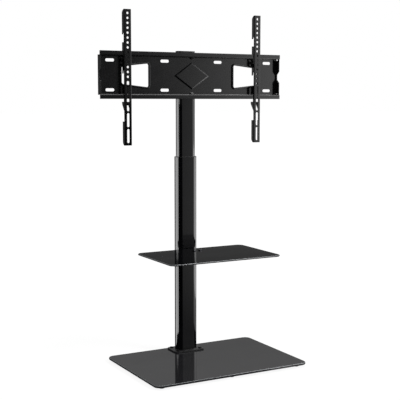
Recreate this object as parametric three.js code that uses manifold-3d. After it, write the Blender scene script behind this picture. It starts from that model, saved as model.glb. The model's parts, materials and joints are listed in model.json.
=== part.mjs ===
// Floor stand for a flat television: a glass foot plate on rubber feet, a telescoping oval
// column, a glass shelf clamped to the column, and a swivelling pressed steel mount plate
// with two hook-on arms. Millimetres, +Z up, the origin on the floor under the centre of
// the foot plate, the front towards -Y.

import * as THREE from 'three';
import { ConvexGeometry } from 'three/addons/geometries/ConvexGeometry.js';
import { mergeVertices } from 'three/addons/utils/BufferGeometryUtils.js';
import Module from 'manifold-3d';

const wasm = await Module();
wasm.setup();

// Shared by all pieces
const fit = 0.3; // clearance where one piece seats on, or runs in, another
const overrun = 2; // how far a cutting tool reaches past the faces that it cuts
const arcSteps = 3; // steps in a rounded corner
const tubeSteps = 2 * arcSteps; // steps in half of a tube's round side
const bendSteps = 1; // steps in a tight bend of sheet
const edgeSteps = 2; // steps over a ground edge
const roundSides = 16; // facets round a screw, pin or foot
const holeSides = 12; // facets round a hole
const hexSides = 6;
const headEdgeShare = 1 / 3; // bevelled share of a screw head's height

// Foot plate
const baseWidth = 600;
const baseDepth = 415;
const baseThick = 8;
const baseCorner = 24;
const groundEdge = 1.5; // ground edge of both glass panels

const footRadius = 10;
const footHeight = 7.7;
const footChamfer = 1.5;
const footSideInset = 32; // foot centre in from the side edges
const footFrontInset = 29.5; // foot centre in from the front and back edges

const backingWidth = 116;
const backingDepth = 76;
const backingThick = 4;

// Column
const columnInset = 47.5; // column's centre in from the back edge of the foot plate
const columnTop = 1123.5;
const flangeWidth = 120;
const flangeDepth = 80;
const flangeThick = 4.7;
const flangeCorner = 12;
const flangeBoltInset = 14;
const flangeBoltRadius = 4;
const flangeHeadRadius = 7;
const flangeHeadHeight = 3;

const lowerWidth = 86;
const lowerDepth = 41.5;
const lowerWall = 2.5;
const lowerLength = 718.2;
const upperWidth = 75;
const upperDepth = 33;
const upperWall = 2;
const upperLength = 680;
const capThick = 3;
const capEdge = 0.8;
const capPlug = 15;
const collarRim = 1.5;
const collarLength = 60;
const shoeLength = 40;
const shoeFloor = 2.8;

const heightPitch = 50;
const heightHoles = 7;
const heightHolesAbove = 3; // how many of them lie above the bolts as drawn
const heightBoltDrop = 80; // upper bolt below the top of the lower tube
const heightBoltRadius = 4;
const heightHeadRadius = 6.5;
const heightHeadHeight = 5;

const portWidth = 26; // cable ports in the back of both tubes
const portHeight = 64;
const lowerPortRise = 85; // centre of the lower port above the flange
const upperPortDrop = 73; // centre of the upper port below the mount plate's centre

// Shelf
const shelfWidth = 437;
const shelfDepth = 285;
const shelfThick = 5;
const shelfCorner = 24;
const shelfTop = 402.75;
const shelfSetback = 13.25; // shelf's back edge to the column's front
const padThick = 1;
const padInset = 6;
const carrierWidth = 80;
const carrierReach = 92;
const carrierCorner = 14;
const carrierSheet = 3;
const carrierDrop = 56;
const carrierEar = 62; // half width of the carrier's back flange
const ribSpacing = 52;
const ribReachShare = 0.8;
const ribDropShare = 0.82;
const shelfScrewSpacing = 25;
const shelfScrewReach = 69.25; // screws in front of the column
const shelfScrewRadius = 2.7;
const shelfCapRadius = 7;
const shelfCapHeight = 3.2;
const shelfScrewLength = 16;
const nutThick = 5;
const nutRadius = 5.8;
const strapHeight = 36;
const strapSheet = 3;
const strapGap = 2.25; // the gap that the clamp bolts close
const clampBoltRadius = 3;
const clampHeadRadius = 5.6;
const clampHeadHeight = 4;
const clampBoltInset = 9;

// Swivel
const plateGap = 31; // back of the mount plate to the front of the upper tube
const pivotSetback = 15.5; // pivot axis in front of the upper tube
const bracketSheet = 3;
const earThick = 4;
const earRadius = 11.5;
const yokeHalf = 42; // half height over the yoke's ears
const yokeBackHalf = 60;
const yokeBackWidth = 40;
const yokeBoltSpacing = 24;
const yokeBoltRise = 51;
const yokeBoltRadius = 3;
const yokeHeadRadius = 5;
const yokeHeadHeight = 3.5;
const yokeBoltGrip = 3;
const washerThick = 1.5;
const washerRadius = 11;
const pivotRadius = 5;
const pivotHeadRadius = 9;
const pivotHeadHeight = 5;
const pivotNutThick = 8;
const pivotTail = 3;
const knucklePlateWidth = 152;
const knucklePlateHalf = 54;
const knuckleEarWidth = 52;

// Mount plate, a pressed hat section
const plateCentre = 1033; // centre of the mount plate above the floor
const plateSheet = 2;
const webWidth = 725;
const webHeight = 136;
const plateDepth = 24;
const lipHeight = 14;
const lipOverhang = 2; // lips and flanges reach past the web at each end
const bendRadius = 3;
const innerBend = 1;
const endTabTrim = 3.5; // end tab short of the top and bottom flanges
const endNotchOuter = 41;
const endNotchInner = 16.5;
const endNotchDepth = 14;
const cornerRelief = 4;
const wallSlotLength = 33;
const wallSlotWidth = 10.5;
const wallSlotRise = 51;
const wallSlotInner = 108;
const wallSlotOuter = 318.5;
const windowNear = 172.5;
const windowFar = 274.5;
const windowNearHalf = 41.3;
const windowFarHalf = 29.5;
const windowCorner = 7;
const collarHeight = 5.5;
const bossHalfWidth = 67;
const bossHalfHeight = 45.5;
const bossRise = 4;
const bossSlope = 5;
const gussetHalf = 15;
const gussetReach = 12;

// Arms
const armSpacing = 524;
const armWidth = 28;
const armDepth = 17.2;
const armSheet = 2;
const armBend = 2.5;
const armTop = 223.6; // above the plate's centre
const armBottom = 243; // below it
const armStandoff = 3.8; // arm's front face before the plate's lips
const armHoles = 14;
const armHolePitch = 16.67;
const armHoleTop = 13.4; // first hole below the arm's top
const armHoleRadius = 4;
const armSlots = 4;
const armSlotPitch = 55;
const armSlotLength = 48.5;
const armSlotWidth = 8.8;
const armSlotFirst = 45; // centre of the first slot below the plate's centre
const hookPitch = 64;
const hookOpening = 27;
const hookPocket = 8;
const hookMouth = 3; // width of a pocket at its top
const hookFlare = 4;
const thirdOpening = 38;
const thirdPocket = 13.5;
const lowerNotchBottom = 160; // below the plate's centre
const lowerNotchMargin = 5;
const armTopCut = 9.5;
const armTopCutDepth = 12.5;
const armFootCut = 9.5;
const armFootCutDepth = 8.5;
const armCutRound = 4;

// Lock tabs
const lockSheet = 1.5;
const lockTop = 92; // below the plate's centre
const lockBottom = 127;
const lockBack = 22.5; // behind the plate's lips
const lockBackHeight = 8;
const lockToe = 2.5; // how far the cheeks' lower end stands behind the lips
const fingerHeight = 20;
const fingerWidth = 5;
const lockScrewDrop = 98; // below the plate's centre
const lockScrewRadius = 2.5;
const lockHeadRadius = 4;
const lockHeadProud = 0.8;
const lockNutRadius = 4.6;
const lockNutThick = 3;

// Worked out from the sizes above
const baseBottom = footHeight + fit;
const baseTop = baseBottom + baseThick;
const columnY = baseDepth / 2 - columnInset;
const flangeTop = baseTop + fit + flangeThick;
const lowerBottom = flangeTop + fit;
const lowerTop = lowerBottom + lowerLength;
const lowerFront = columnY - lowerDepth / 2;
const lowerBack = columnY + lowerDepth / 2;
const upperTop = columnTop - capThick - fit;
const upperBottom = upperTop - upperLength;
const upperFront = columnY - upperDepth / 2;
const upperBack = columnY + upperDepth / 2;
const shelfUnder = shelfTop - shelfThick;
const shelfBack = lowerFront - shelfSetback;
const pivotY = upperFront - pivotSetback;
const plateBack = upperFront - plateGap;
const webFront = plateBack - plateSheet;
const lipFront = plateBack - plateDepth;
const lipBack = lipFront + plateSheet;
const webHalf = webHeight / 2;
const lipHalf = webHalf + lipHeight;
const armFront = lipFront - armStandoff;
const armBack = armFront + armDepth;

const xAxis = new THREE.Vector3(1, 0, 0);
const yAxis = new THREE.Vector3(0, 1, 0);
const zAxis = new THREE.Vector3(0, 0, 1);

// Finishes
const blackGlass = { color: 0x0b0b0d, roughness: 0.06, metalness: 0 };
const columnPaint = { color: 0x17171a, roughness: 0.25, metalness: 0.3 };
const powderCoat = { color: 0x1e1e20, roughness: 0.5, metalness: 0.2 };
const blackZinc = { color: 0x141416, roughness: 0.35, metalness: 0.8 };
const blackPlastic = { color: 0x161617, roughness: 0.45, metalness: 0 };
const footRubber = { color: 0x101010, roughness: 0.85, metalness: 0 };
const blackChrome = { color: 0x0a0a0b, roughness: 0.12, metalness: 0.9 };

// A closed outline through corners [x, y, radius], with an arc at each rounded corner
function outline(corners) {
  const shape = new THREE.Shape();
  corners.forEach(([x, y, radius = 0], index) => {
    const corner = new THREE.Vector2(x, y);
    const before = corners[(index + corners.length - 1) % corners.length];
    const after = corners[(index + 1) % corners.length];
    const toBefore = new THREE.Vector2(before[0], before[1]).sub(corner).normalize();
    const toAfter = new THREE.Vector2(after[0], after[1]).sub(corner).normalize();
    if (radius > 0) {
      const half = Math.acos(toBefore.dot(toAfter)) / 2;
      const centre = toBefore.clone().add(toAfter).setLength(radius / Math.sin(half)).add(corner);
      const start = toBefore.clone().setLength(radius / Math.tan(half)).add(corner).sub(centre);
      const end = toAfter.clone().setLength(radius / Math.tan(half)).add(corner).sub(centre);
      const clockwise = toBefore.cross(toAfter) > 0;
      if (index > 0) {
        shape.lineTo(centre.x + start.x, centre.y + start.y);
      }
      shape.absarc(centre.x, centre.y, radius, start.angle(), end.angle(), clockwise);
    } else if (index === 0) {
      shape.moveTo(x, y);
    } else {
      shape.lineTo(x, y);
    }
  });
  return shape;
}

function roundedRectangle(width, depth, radius) {
  const x = width / 2;
  const y = depth / 2;
  return outline([[x, -y, radius], [x, y, radius], [-x, y, radius], [-x, -y, radius]]);
}

// Two half circles joined by straights, longer along the first or the second axis
function stadium(width, depth) {
  const shape = new THREE.Shape();
  const radius = Math.min(width, depth) / 2;
  const reachX = width / 2 - radius;
  const reachY = depth / 2 - radius;
  const turn = width > depth ? -Math.PI / 2 : 0;
  shape.absarc(reachX, reachY, radius, turn, turn + Math.PI, false);
  shape.absarc(-reachX, -reachY, radius, turn + Math.PI, turn + 2 * Math.PI, false);
  return shape;
}

function circle(radius) {
  const shape = new THREE.Shape();
  shape.absarc(0, 0, radius, 0, Math.PI, false);
  shape.absarc(0, 0, radius, Math.PI, 2 * Math.PI, false);
  return shape;
}

function withHole(shape, hole) {
  shape.holes.push(hole);
  return shape;
}

// Extrusions: upwards, along X from an outline in (y, z), and along Y from one in (x, z)
function upright(shape, bottom, top, steps = arcSteps) {
  const settings = { depth: top - bottom, bevelEnabled: false, curveSegments: steps };
  return new THREE.ExtrudeGeometry(shape, settings).translate(0, 0, bottom);
}

function alongX(shape, start, end, steps = arcSteps) {
  const geometry = upright(shape, 0, end - start, steps);
  geometry.applyMatrix4(new THREE.Matrix4().makeBasis(yAxis, zAxis, xAxis));
  return geometry.translate(start, 0, 0);
}

function alongY(shape, start, end, steps = arcSteps) {
  const geometry = upright(shape, 0, end - start, steps);
  geometry.applyMatrix4(new THREE.Matrix4().makeBasis(xAxis, zAxis, yAxis.clone().negate()));
  return geometry.translate(0, end, 0);
}

function block([x0, x1], [y0, y1], [z0, z1]) {
  const geometry = new THREE.BoxGeometry(x1 - x0, y1 - y0, z1 - z0);
  return geometry.translate((x0 + x1) / 2, (y0 + y1) / 2, (z0 + z1) / 2);
}

function roundBar(radius, bottom, top, sides = holeSides) {
  const geometry = new THREE.CylinderGeometry(radius, radius, top - bottom, sides);
  return geometry.rotateX(Math.PI / 2).translate(0, 0, (bottom + top) / 2);
}

// A turned piece about Z from points [radius, height], listed from the bottom up
function turned(points, sides = roundSides) {
  const profile = points.map(([radius, height]) => new THREE.Vector2(radius, height));
  return new THREE.LatheGeometry(profile, sides).rotateX(Math.PI / 2);
}

// Joins and cuts
function solidOf(geometry) {
  const bare = geometry.clone();
  bare.deleteAttribute('normal');
  bare.deleteAttribute('uv');
  const merged = mergeVertices(bare);
  const corners = merged.index.array;
  const faces = [];
  for (let face = 0; face < corners.length; face += 3) {
    const [a, b, c] = corners.slice(face, face + 3);
    if (a !== b && b !== c && c !== a) {
      faces.push(a, b, c);
    }
  }
  return new wasm.Manifold(new wasm.Mesh({
    numProp: 3,
    vertProperties: new Float32Array(merged.attributes.position.array),
    triVerts: new Uint32Array(faces),
  }));
}

function geometryOf(solid) {
  const mesh = solid.getMesh();
  const geometry = new THREE.BufferGeometry();
  geometry.setAttribute('position', new THREE.BufferAttribute(mesh.vertProperties, 3));
  geometry.setIndex(new THREE.BufferAttribute(mesh.triVerts, 1));
  return geometry;
}

function joined(...geometries) {
  return geometryOf(geometries.map(solidOf).reduce((whole, piece) => whole.add(piece)));
}

function cut(geometry, ...tools) {
  return geometryOf(tools.map(solidOf).reduce((rest, tool) => rest.subtract(tool), solidOf(geometry)));
}

function common(first, second) {
  return geometryOf(solidOf(first).intersect(solidOf(second)));
}

function addPiece(parent, name, geometry, finish, x = 0, y = 0, z = 0) {
  const mesh = new THREE.Mesh(geometry, new THREE.MeshStandardMaterial(finish));
  mesh.name = name;
  mesh.position.set(x, y, z);
  parent.add(mesh);
  return mesh;
}

// Fasteners, turned about Z with the seat of the head at zero and the shank below
function screwGeometry(headRadius, headHeight, shankRadius, shankLength) {
  const edge = headHeight * headEdgeShare;
  return turned([
    [0, -shankLength],
    [shankRadius, -shankLength],
    [shankRadius, 0],
    [headRadius, 0],
    [headRadius, headHeight - edge],
    [headRadius - edge, headHeight],
    [0, headHeight],
  ]);
}

function hexBoltGeometry(headRadius, headHeight, shankRadius, shankLength) {
  const sunk = headHeight / 2;
  return joined(
    roundBar(headRadius, 0, headHeight, hexSides),
    roundBar(shankRadius, -shankLength, sunk),
  );
}

function socketBoltGeometry(headRadius, headHeight, shankRadius, shankLength) {
  const socket = roundBar(headRadius / 2, headHeight / 2, headHeight + overrun, hexSides);
  return cut(screwGeometry(headRadius, headHeight, shankRadius, shankLength), socket);
}

function nutGeometry(radius, boltRadius, thick) {
  const bore = roundBar(boltRadius + fit, -overrun, thick + overrun);
  return cut(roundBar(radius, 0, thick, hexSides), bore);
}

// A panel with both edges eased, its underside at zero
function easedPanel(shape, thick, edge, steps) {
  const settings = {
    depth: thick - 2 * edge,
    bevelThickness: edge,
    bevelSize: edge,
    bevelOffset: -edge,
    bevelSegments: edgeSteps,
    curveSegments: steps,
  };
  return new THREE.ExtrudeGeometry(shape, settings).translate(0, 0, edge);
}

function footGeometry(height) {
  return turned([
    [0, 0],
    [footRadius - footChamfer, 0],
    [footRadius, footChamfer],
    [footRadius, height],
    [0, height],
  ]);
}

// Foot plate, feet and the column's flange
function addBase(parent) {
  const boltX = flangeWidth / 2 - flangeBoltInset;
  const boltY = flangeDepth / 2 - flangeBoltInset;
  const boltSpots = [-1, 1].flatMap((side) => [-1, 1].map((end) => [side * boltX, columnY + end * boltY]));
  const boltHoles = boltSpots.map(([x, y]) => (
    roundBar(flangeBoltRadius + fit, -overrun, flangeTop + overrun).translate(x, y, 0)
  ));

  const glassShape = roundedRectangle(baseWidth, baseDepth, baseCorner);
  const glass = easedPanel(glassShape, baseThick, groundEdge, arcSteps).translate(0, 0, baseBottom);
  addPiece(parent, 'base_glass', cut(glass, ...boltHoles), blackGlass);

  const footX = baseWidth / 2 - footSideInset;
  const footY = baseDepth / 2 - footFrontInset;
  const lowFoot = footHeight - backingThick - fit; // under the backing plate, below the column
  const feet = [
    [-footX, -footY, footHeight],
    [0, -footY, footHeight],
    [footX, -footY, footHeight],
    [-footX, footY, footHeight],
    [0, columnY, lowFoot],
    [footX, footY, footHeight],
  ];
  feet.forEach(([x, y, height], index) => {
    addPiece(parent, `foot_${index + 1}`, footGeometry(height), footRubber, x, y, 0);
  });

  const backingTop = baseBottom - fit;
  const backingShape = roundedRectangle(backingWidth, backingDepth, flangeCorner);
  const backing = upright(backingShape, backingTop - backingThick, backingTop).translate(0, columnY, 0);
  addPiece(parent, 'base_backing_plate', cut(backing, ...boltHoles), blackZinc);

  const flangeShape = roundedRectangle(flangeWidth, flangeDepth, flangeCorner);
  const flange = upright(flangeShape, baseTop + fit, flangeTop).translate(0, columnY, 0);
  addPiece(parent, 'column_flange', cut(flange, ...boltHoles), powderCoat);

  const boltSeat = flangeTop + fit;
  const boltLength = boltSeat - backingTop + backingThick;
  boltSpots.forEach(([x, y], index) => {
    const bolt = socketBoltGeometry(flangeHeadRadius, flangeHeadHeight, flangeBoltRadius, boltLength);
    addPiece(parent, `flange_bolt_${index + 1}`, bolt, blackZinc, x, y, boltSeat);
  });
}

// Lower tube with its guide collar and the bolts that hold the height
function addLowerColumn(parent) {
  const boltHeights = [lowerTop - heightBoltDrop, lowerTop - heightBoltDrop - heightPitch];
  const tubeShape = withHole(
    stadium(lowerWidth, lowerDepth),
    stadium(lowerWidth - 2 * lowerWall, lowerDepth - 2 * lowerWall),
  );
  const tube = upright(tubeShape, lowerBottom, lowerTop, tubeSteps);
  const backWall = [lowerDepth / 2 - lowerWall - overrun, lowerDepth / 2 + overrun];
  const port = alongY(stadium(portWidth, portHeight), ...backWall);
  port.translate(0, 0, flangeTop + lowerPortRise);
  const boltHoles = boltHeights.map((height) => (
    alongY(circle(heightBoltRadius + fit), ...backWall).translate(0, 0, height)
  ));
  addPiece(parent, 'lower_tube', cut(tube, port, ...boltHoles), columnPaint, 0, columnY, 0);

  const sleeveShape = stadium(lowerWidth - 2 * lowerWall - 2 * fit, lowerDepth - 2 * lowerWall - 2 * fit);
  const rimBottom = lowerTop + fit;
  const collar = joined(
    upright(sleeveShape, rimBottom - collarLength, rimBottom + collarRim / 2, tubeSteps),
    upright(stadium(lowerWidth, lowerDepth), rimBottom, rimBottom + collarRim, tubeSteps),
  );
  const passage = upright(
    stadium(upperWidth + 2 * fit, upperDepth + 2 * fit),
    rimBottom - collarLength - overrun,
    rimBottom + collarRim + overrun,
    tubeSteps,
  );
  addPiece(parent, 'guide_collar', cut(collar, passage), blackPlastic, 0, columnY, 0);

  const boltLength = lowerBack - upperBack;
  ['height_bolt_upper', 'height_bolt_lower'].forEach((name, index) => {
    const bolt = socketBoltGeometry(heightHeadRadius, heightHeadHeight, heightBoltRadius, boltLength);
    const mesh = addPiece(parent, name, bolt, blackZinc, 0, lowerBack + fit, boltHeights[index]);
    mesh.rotation.x = -Math.PI / 2;
  });
}

// Glass shelf on a pressed carrier, clamped to the lower tube by a strap
function addShelf(parent) {
  const shelf = new THREE.Group();
  shelf.position.z = shelfUnder;
  parent.add(shelf);

  const screwY = lowerFront - shelfScrewReach;
  const screwSpots = [-shelfScrewSpacing / 2, shelfScrewSpacing / 2];
  const screwHoles = screwSpots.map((x) => (
    roundBar(shelfScrewRadius + fit, -carrierDrop, shelfThick + overrun).translate(x, screwY, 0)
  ));
  const glassShape = roundedRectangle(shelfWidth, shelfDepth, shelfCorner);
  const glass = easedPanel(glassShape, shelfThick, groundEdge, arcSteps);
  glass.translate(0, shelfBack - shelfDepth / 2, 0);
  addPiece(shelf, 'shelf_glass', cut(glass, ...screwHoles), blackGlass);

  const padTop = -fit;
  const trayTop = padTop - padThick - fit;
  const carrierBack = lowerFront - fit;
  const flangeFront = carrierBack - carrierSheet;
  const trayFront = carrierBack - carrierReach;
  const padShape = outline([
    [-carrierWidth / 2 + padInset, trayFront + padInset, carrierCorner - padInset],
    [carrierWidth / 2 - padInset, trayFront + padInset, carrierCorner - padInset],
    [carrierWidth / 2 - padInset, shelfBack - padInset],
    [-carrierWidth / 2 + padInset, shelfBack - padInset],
  ]);
  const pad = upright(padShape, padTop - padThick, padTop);
  addPiece(shelf, 'shelf_pad', cut(pad, ...screwHoles), footRubber);

  const trayShape = outline([
    [-carrierWidth / 2, trayFront, carrierCorner],
    [carrierWidth / 2, trayFront, carrierCorner],
    [carrierWidth / 2, carrierBack],
    [-carrierWidth / 2, carrierBack],
  ]);
  const tray = upright(trayShape, trayTop - carrierSheet, trayTop);
  const carrierBottom = trayTop - carrierDrop;
  const flangeShape = outline([
    [-carrierEar, carrierBottom, carrierCorner],
    [carrierEar, carrierBottom, carrierCorner],
    [carrierEar, trayTop - carrierSheet, carrierSheet],
    [carrierWidth / 2, trayTop - carrierSheet],
    [carrierWidth / 2, trayTop],
    [-carrierWidth / 2, trayTop],
    [-carrierWidth / 2, trayTop - carrierSheet],
    [-carrierEar, trayTop - carrierSheet, carrierSheet],
  ]);
  const backFlange = alongY(flangeShape, flangeFront, carrierBack);
  const ribShape = outline([
    [flangeFront + carrierSheet / 2, trayTop - carrierSheet / 2],
    [flangeFront - carrierReach * ribReachShare, trayTop - carrierSheet / 2],
    [flangeFront - carrierReach * ribReachShare, trayTop - 2 * carrierSheet],
    [flangeFront, trayTop - carrierDrop * ribDropShare],
    [flangeFront + carrierSheet / 2, trayTop - carrierDrop * ribDropShare],
  ]);
  const ribs = [-1, 1].map((side) => {
    const ribX = side * ribSpacing / 2;
    return alongX(ribShape, ribX - carrierSheet / 2, ribX + carrierSheet / 2);
  });
  const clampX = carrierEar - clampBoltInset;
  const clampZ = carrierBottom + strapHeight / 2;
  const clampHoles = [-clampX, clampX].map((x) => (
    alongY(circle(clampBoltRadius + fit), flangeFront - overrun, columnY).translate(x, 0, clampZ)
  ));
  const carrier = joined(tray, backFlange, ...ribs);
  addPiece(shelf, 'shelf_bracket', cut(carrier, ...screwHoles, ...clampHoles), powderCoat);

  const capSeat = shelfThick + fit;
  const screwShank = capSeat + shelfScrewLength;
  const nutTop = trayTop - carrierSheet - fit;
  ['left', 'right'].forEach((side, index) => {
    const x = screwSpots[index];
    const screw = screwGeometry(shelfCapRadius, shelfCapHeight, shelfScrewRadius, screwShank);
    addPiece(shelf, `shelf_screw_${side}`, screw, blackChrome, x, screwY, capSeat);
    const nut = nutGeometry(nutRadius, shelfScrewRadius, nutThick);
    addPiece(shelf, `shelf_nut_${side}`, nut, blackZinc, x, screwY, nutTop - nutThick);
  });

  const earFront = lowerFront + strapGap;
  const earBack = earFront + strapSheet;
  const strapBottom = carrierBottom;
  const strapTop = carrierBottom + strapHeight;
  const wrapWidth = lowerWidth + 2 * fit;
  const wrapDepth = lowerDepth + 2 * fit;
  const wrapShape = stadium(wrapWidth + 2 * strapSheet, wrapDepth + 2 * strapSheet);
  const wrap = upright(wrapShape, strapBottom, strapTop, tubeSteps).translate(0, columnY, 0);
  const ears = block([-carrierEar, carrierEar], [earFront, earBack], [strapBottom, strapTop]);
  const hollowSpan = [strapBottom - overrun, strapTop + overrun];
  const hollow = upright(stadium(wrapWidth, wrapDepth), ...hollowSpan, tubeSteps);
  hollow.translate(0, columnY, 0);
  const strapFront = block(
    [-carrierEar - overrun, carrierEar + overrun],
    [lowerFront - 2 * strapSheet, earFront],
    hollowSpan,
  );
  const strap = cut(joined(wrap, ears), hollow, strapFront, ...clampHoles);
  addPiece(shelf, 'shelf_clamp', strap, powderCoat);

  const boltLength = earBack - flangeFront + nutThick + 3 * fit;
  ['left', 'right'].forEach((side, index) => {
    const x = index === 0 ? -clampX : clampX;
    const bolt = hexBoltGeometry(clampHeadRadius, clampHeadHeight, clampBoltRadius, boltLength);
    const boltMesh = addPiece(shelf, `clamp_bolt_${side}`, bolt, blackZinc, x, earBack + fit, clampZ);
    boltMesh.rotation.x = -Math.PI / 2;
    const nut = nutGeometry(nutRadius, clampBoltRadius, nutThick);
    const nutMesh = addPiece(shelf, `clamp_nut_${side}`, nut, blackZinc, x, flangeFront - fit, clampZ);
    nutMesh.rotation.x = Math.PI / 2;
  });
}

// Upper tube with its cap and shoe; heights are above the mount plate's centre
function addUpperColumn(head) {
  const tubeTop = upperTop - plateCentre;
  const tubeBottom = upperBottom - plateCentre;
  const tubeShape = withHole(
    stadium(upperWidth, upperDepth),
    stadium(upperWidth - 2 * upperWall, upperDepth - 2 * upperWall),
  );
  const tube = upright(tubeShape, tubeBottom, tubeTop, tubeSteps);
  const backWall = [upperDepth / 2 - upperWall - overrun, upperDepth / 2 + overrun];
  const frontWall = [-upperDepth / 2 - overrun, -upperDepth / 2 + upperWall + overrun];
  const port = alongY(stadium(portWidth, portHeight), ...backWall).translate(0, 0, -upperPortDrop);
  const firstHole = lowerTop - heightBoltDrop + heightHolesAbove * heightPitch - plateCentre;
  const heightTools = Array.from({ length: heightHoles }, (_, index) => (
    alongY(circle(heightBoltRadius + fit), ...backWall).translate(0, 0, firstHole - index * heightPitch)
  ));
  const yokeTools = yokeBoltSpots().map(([x, z]) => (
    alongY(circle(yokeBoltRadius + fit), ...frontWall).translate(x, 0, z)
  ));
  addPiece(head, 'upper_tube', cut(tube, port, ...heightTools, ...yokeTools), columnPaint, 0, columnY, 0);

  const shoeBottom = tubeBottom - fit - shoeFloor;
  const shoeShape = withHole(
    stadium(lowerWidth - 2 * lowerWall - 2 * fit, lowerDepth - 2 * lowerWall - 2 * fit),
    stadium(upperWidth - 2 * upperWall, upperDepth - 2 * upperWall),
  );
  const shoe = upright(shoeShape, shoeBottom, tubeBottom + shoeLength, tubeSteps);
  const seat = upright(
    stadium(upperWidth + 2 * fit, upperDepth + 2 * fit),
    tubeBottom - fit,
    tubeBottom + shoeLength + overrun,
    tubeSteps,
  );
  addPiece(head, 'guide_shoe', cut(shoe, seat), blackPlastic, 0, columnY, 0);

  const lidBottom = tubeTop + fit;
  const lidShape = stadium(upperWidth, upperDepth);
  const lid = easedPanel(lidShape, capThick, capEdge, tubeSteps).translate(0, 0, lidBottom);
  const plugShape = stadium(upperWidth - 2 * upperWall - 2 * fit, upperDepth - 2 * upperWall - 2 * fit);
  const plug = upright(plugShape, lidBottom - capPlug, lidBottom + capThick / 2, tubeSteps);
  addPiece(head, 'top_cap', joined(lid, plug), blackPlastic, 0, columnY, 0);
}

function yokeBoltSpots() {
  const x = yokeBoltSpacing / 2;
  return [[-x, yokeBoltRise], [x, yokeBoltRise], [-x, -yokeBoltRise], [x, -yokeBoltRise]];
}

// An ear in plan: it tapers from its root to a round end about the pivot axis
function earShape(rootHalf, rootY) {
  const shape = new THREE.Shape();
  const towardsBack = rootY > pivotY;
  if (towardsBack) {
    shape.absarc(0, pivotY, earRadius, Math.PI, 2 * Math.PI, false);
    shape.lineTo(rootHalf, rootY);
    shape.lineTo(-rootHalf, rootY);
  } else {
    shape.absarc(0, pivotY, earRadius, 0, Math.PI, false);
    shape.lineTo(-rootHalf, rootY);
    shape.lineTo(rootHalf, rootY);
  }
  return shape;
}

function pivotBore(half) {
  return roundBar(pivotRadius + fit, -half, half, roundSides).translate(0, pivotY, 0);
}

// Yoke bolted to the upper tube, and the pin that the mount plate turns on
function addYoke(head) {
  const backRear = upperFront - fit;
  const backFront = backRear - bracketSheet;
  const backShape = roundedRectangle(yokeBackWidth, 2 * yokeBackHalf, bracketSheet);
  const backPlate = alongY(backShape, backFront, backRear);
  const ears = [-1, 1].map((side) => {
    const [bottom, top] = side > 0 ? [yokeHalf - earThick, yokeHalf] : [-yokeHalf, -yokeHalf + earThick];
    return upright(earShape(yokeBackWidth / 2, backFront + bracketSheet / 2), bottom, top, tubeSteps);
  });
  const boltTools = yokeBoltSpots().map(([x, z]) => (
    alongY(circle(yokeBoltRadius + fit), backFront - overrun, backRear + overrun).translate(x, 0, z)
  ));
  const yoke = cut(joined(backPlate, ...ears), pivotBore(yokeHalf + overrun), ...boltTools);
  addPiece(head, 'swivel_yoke', yoke, powderCoat);

  const boltLength = bracketSheet + 2 * fit + upperWall + yokeBoltGrip;
  yokeBoltSpots().forEach(([x, z], index) => {
    const bolt = screwGeometry(yokeHeadRadius, yokeHeadHeight, yokeBoltRadius, boltLength);
    const mesh = addPiece(head, `yoke_bolt_${index + 1}`, bolt, blackZinc, x, backFront - fit, z);
    mesh.rotation.x = Math.PI / 2;
  });

  const pinSeat = yokeHalf + fit;
  const pinLength = 2 * pinSeat + pivotNutThick + pivotTail;
  const pin = hexBoltGeometry(pivotHeadRadius, pivotHeadHeight, pivotRadius, pinLength);
  addPiece(head, 'pivot_pin', pin, blackZinc, 0, pivotY, pinSeat);
  const nut = nutGeometry(pivotHeadRadius, pivotRadius, pivotNutThick);
  addPiece(head, 'pivot_nut', nut, blackZinc, 0, pivotY, -pinSeat - pivotNutThick);

  const washerTop = yokeHalf - earThick - fit;
  const washerShape = withHole(circle(washerRadius), circle(pivotRadius + fit));
  const washer = upright(washerShape, 0, washerThick, tubeSteps);
  addPiece(head, 'pivot_washer_top', washer, blackPlastic, 0, pivotY, washerTop - washerThick);
  addPiece(head, 'pivot_washer_bottom', washer.clone(), blackPlastic, 0, pivotY, -washerTop);
}

// U bracket on the back of the mount plate, between the yoke's ears
function addKnuckle(head) {
  const plateFront = plateBack + fit;
  const plateRear = plateFront + bracketSheet;
  const plateShape = roundedRectangle(knucklePlateWidth, 2 * knucklePlateHalf, bendRadius);
  const earTop = yokeHalf - earThick - washerThick - 2 * fit;
  const ears = [-1, 1].map((side) => {
    const [bottom, top] = side > 0 ? [earTop - earThick, earTop] : [-earTop, -earTop + earThick];
    return upright(earShape(knuckleEarWidth / 2, plateRear - bracketSheet / 2), bottom, top, tubeSteps);
  });
  const knuckle = joined(alongY(plateShape, plateFront, plateRear), ...ears);
  addPiece(head, 'swivel_knuckle', cut(knuckle, pivotBore(yokeHalf)), powderCoat);
}

// Outline of a flanged window, grown by a margin; side is -1 or 1
function windowShape(side, margin) {
  const near = windowNear - margin;
  const far = windowFar + margin;
  const nearHalf = windowNearHalf + margin;
  const farHalf = windowFarHalf + margin;
  const round = windowCorner + margin;
  return outline([
    [side * near, -nearHalf, round],
    [side * far, -farHalf, round],
    [side * far, farHalf, round],
    [side * near, nearHalf, round],
  ]);
}

// The diamond boss: a low four-sided frustum, its top at the given place along Y
function bossGeometry(topY, rootY, shrink) {
  const points = [[topY, 0], [rootY, bossSlope]].flatMap(([y, grow]) => {
    const width = bossHalfWidth + grow - shrink;
    const height = bossHalfHeight + grow * bossHalfHeight / bossHalfWidth - shrink;
    return [[width, 0], [-width, 0], [0, height], [0, -height]].map(([x, z]) => new THREE.Vector3(x, y, z));
  });
  return new ConvexGeometry(points);
}

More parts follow.
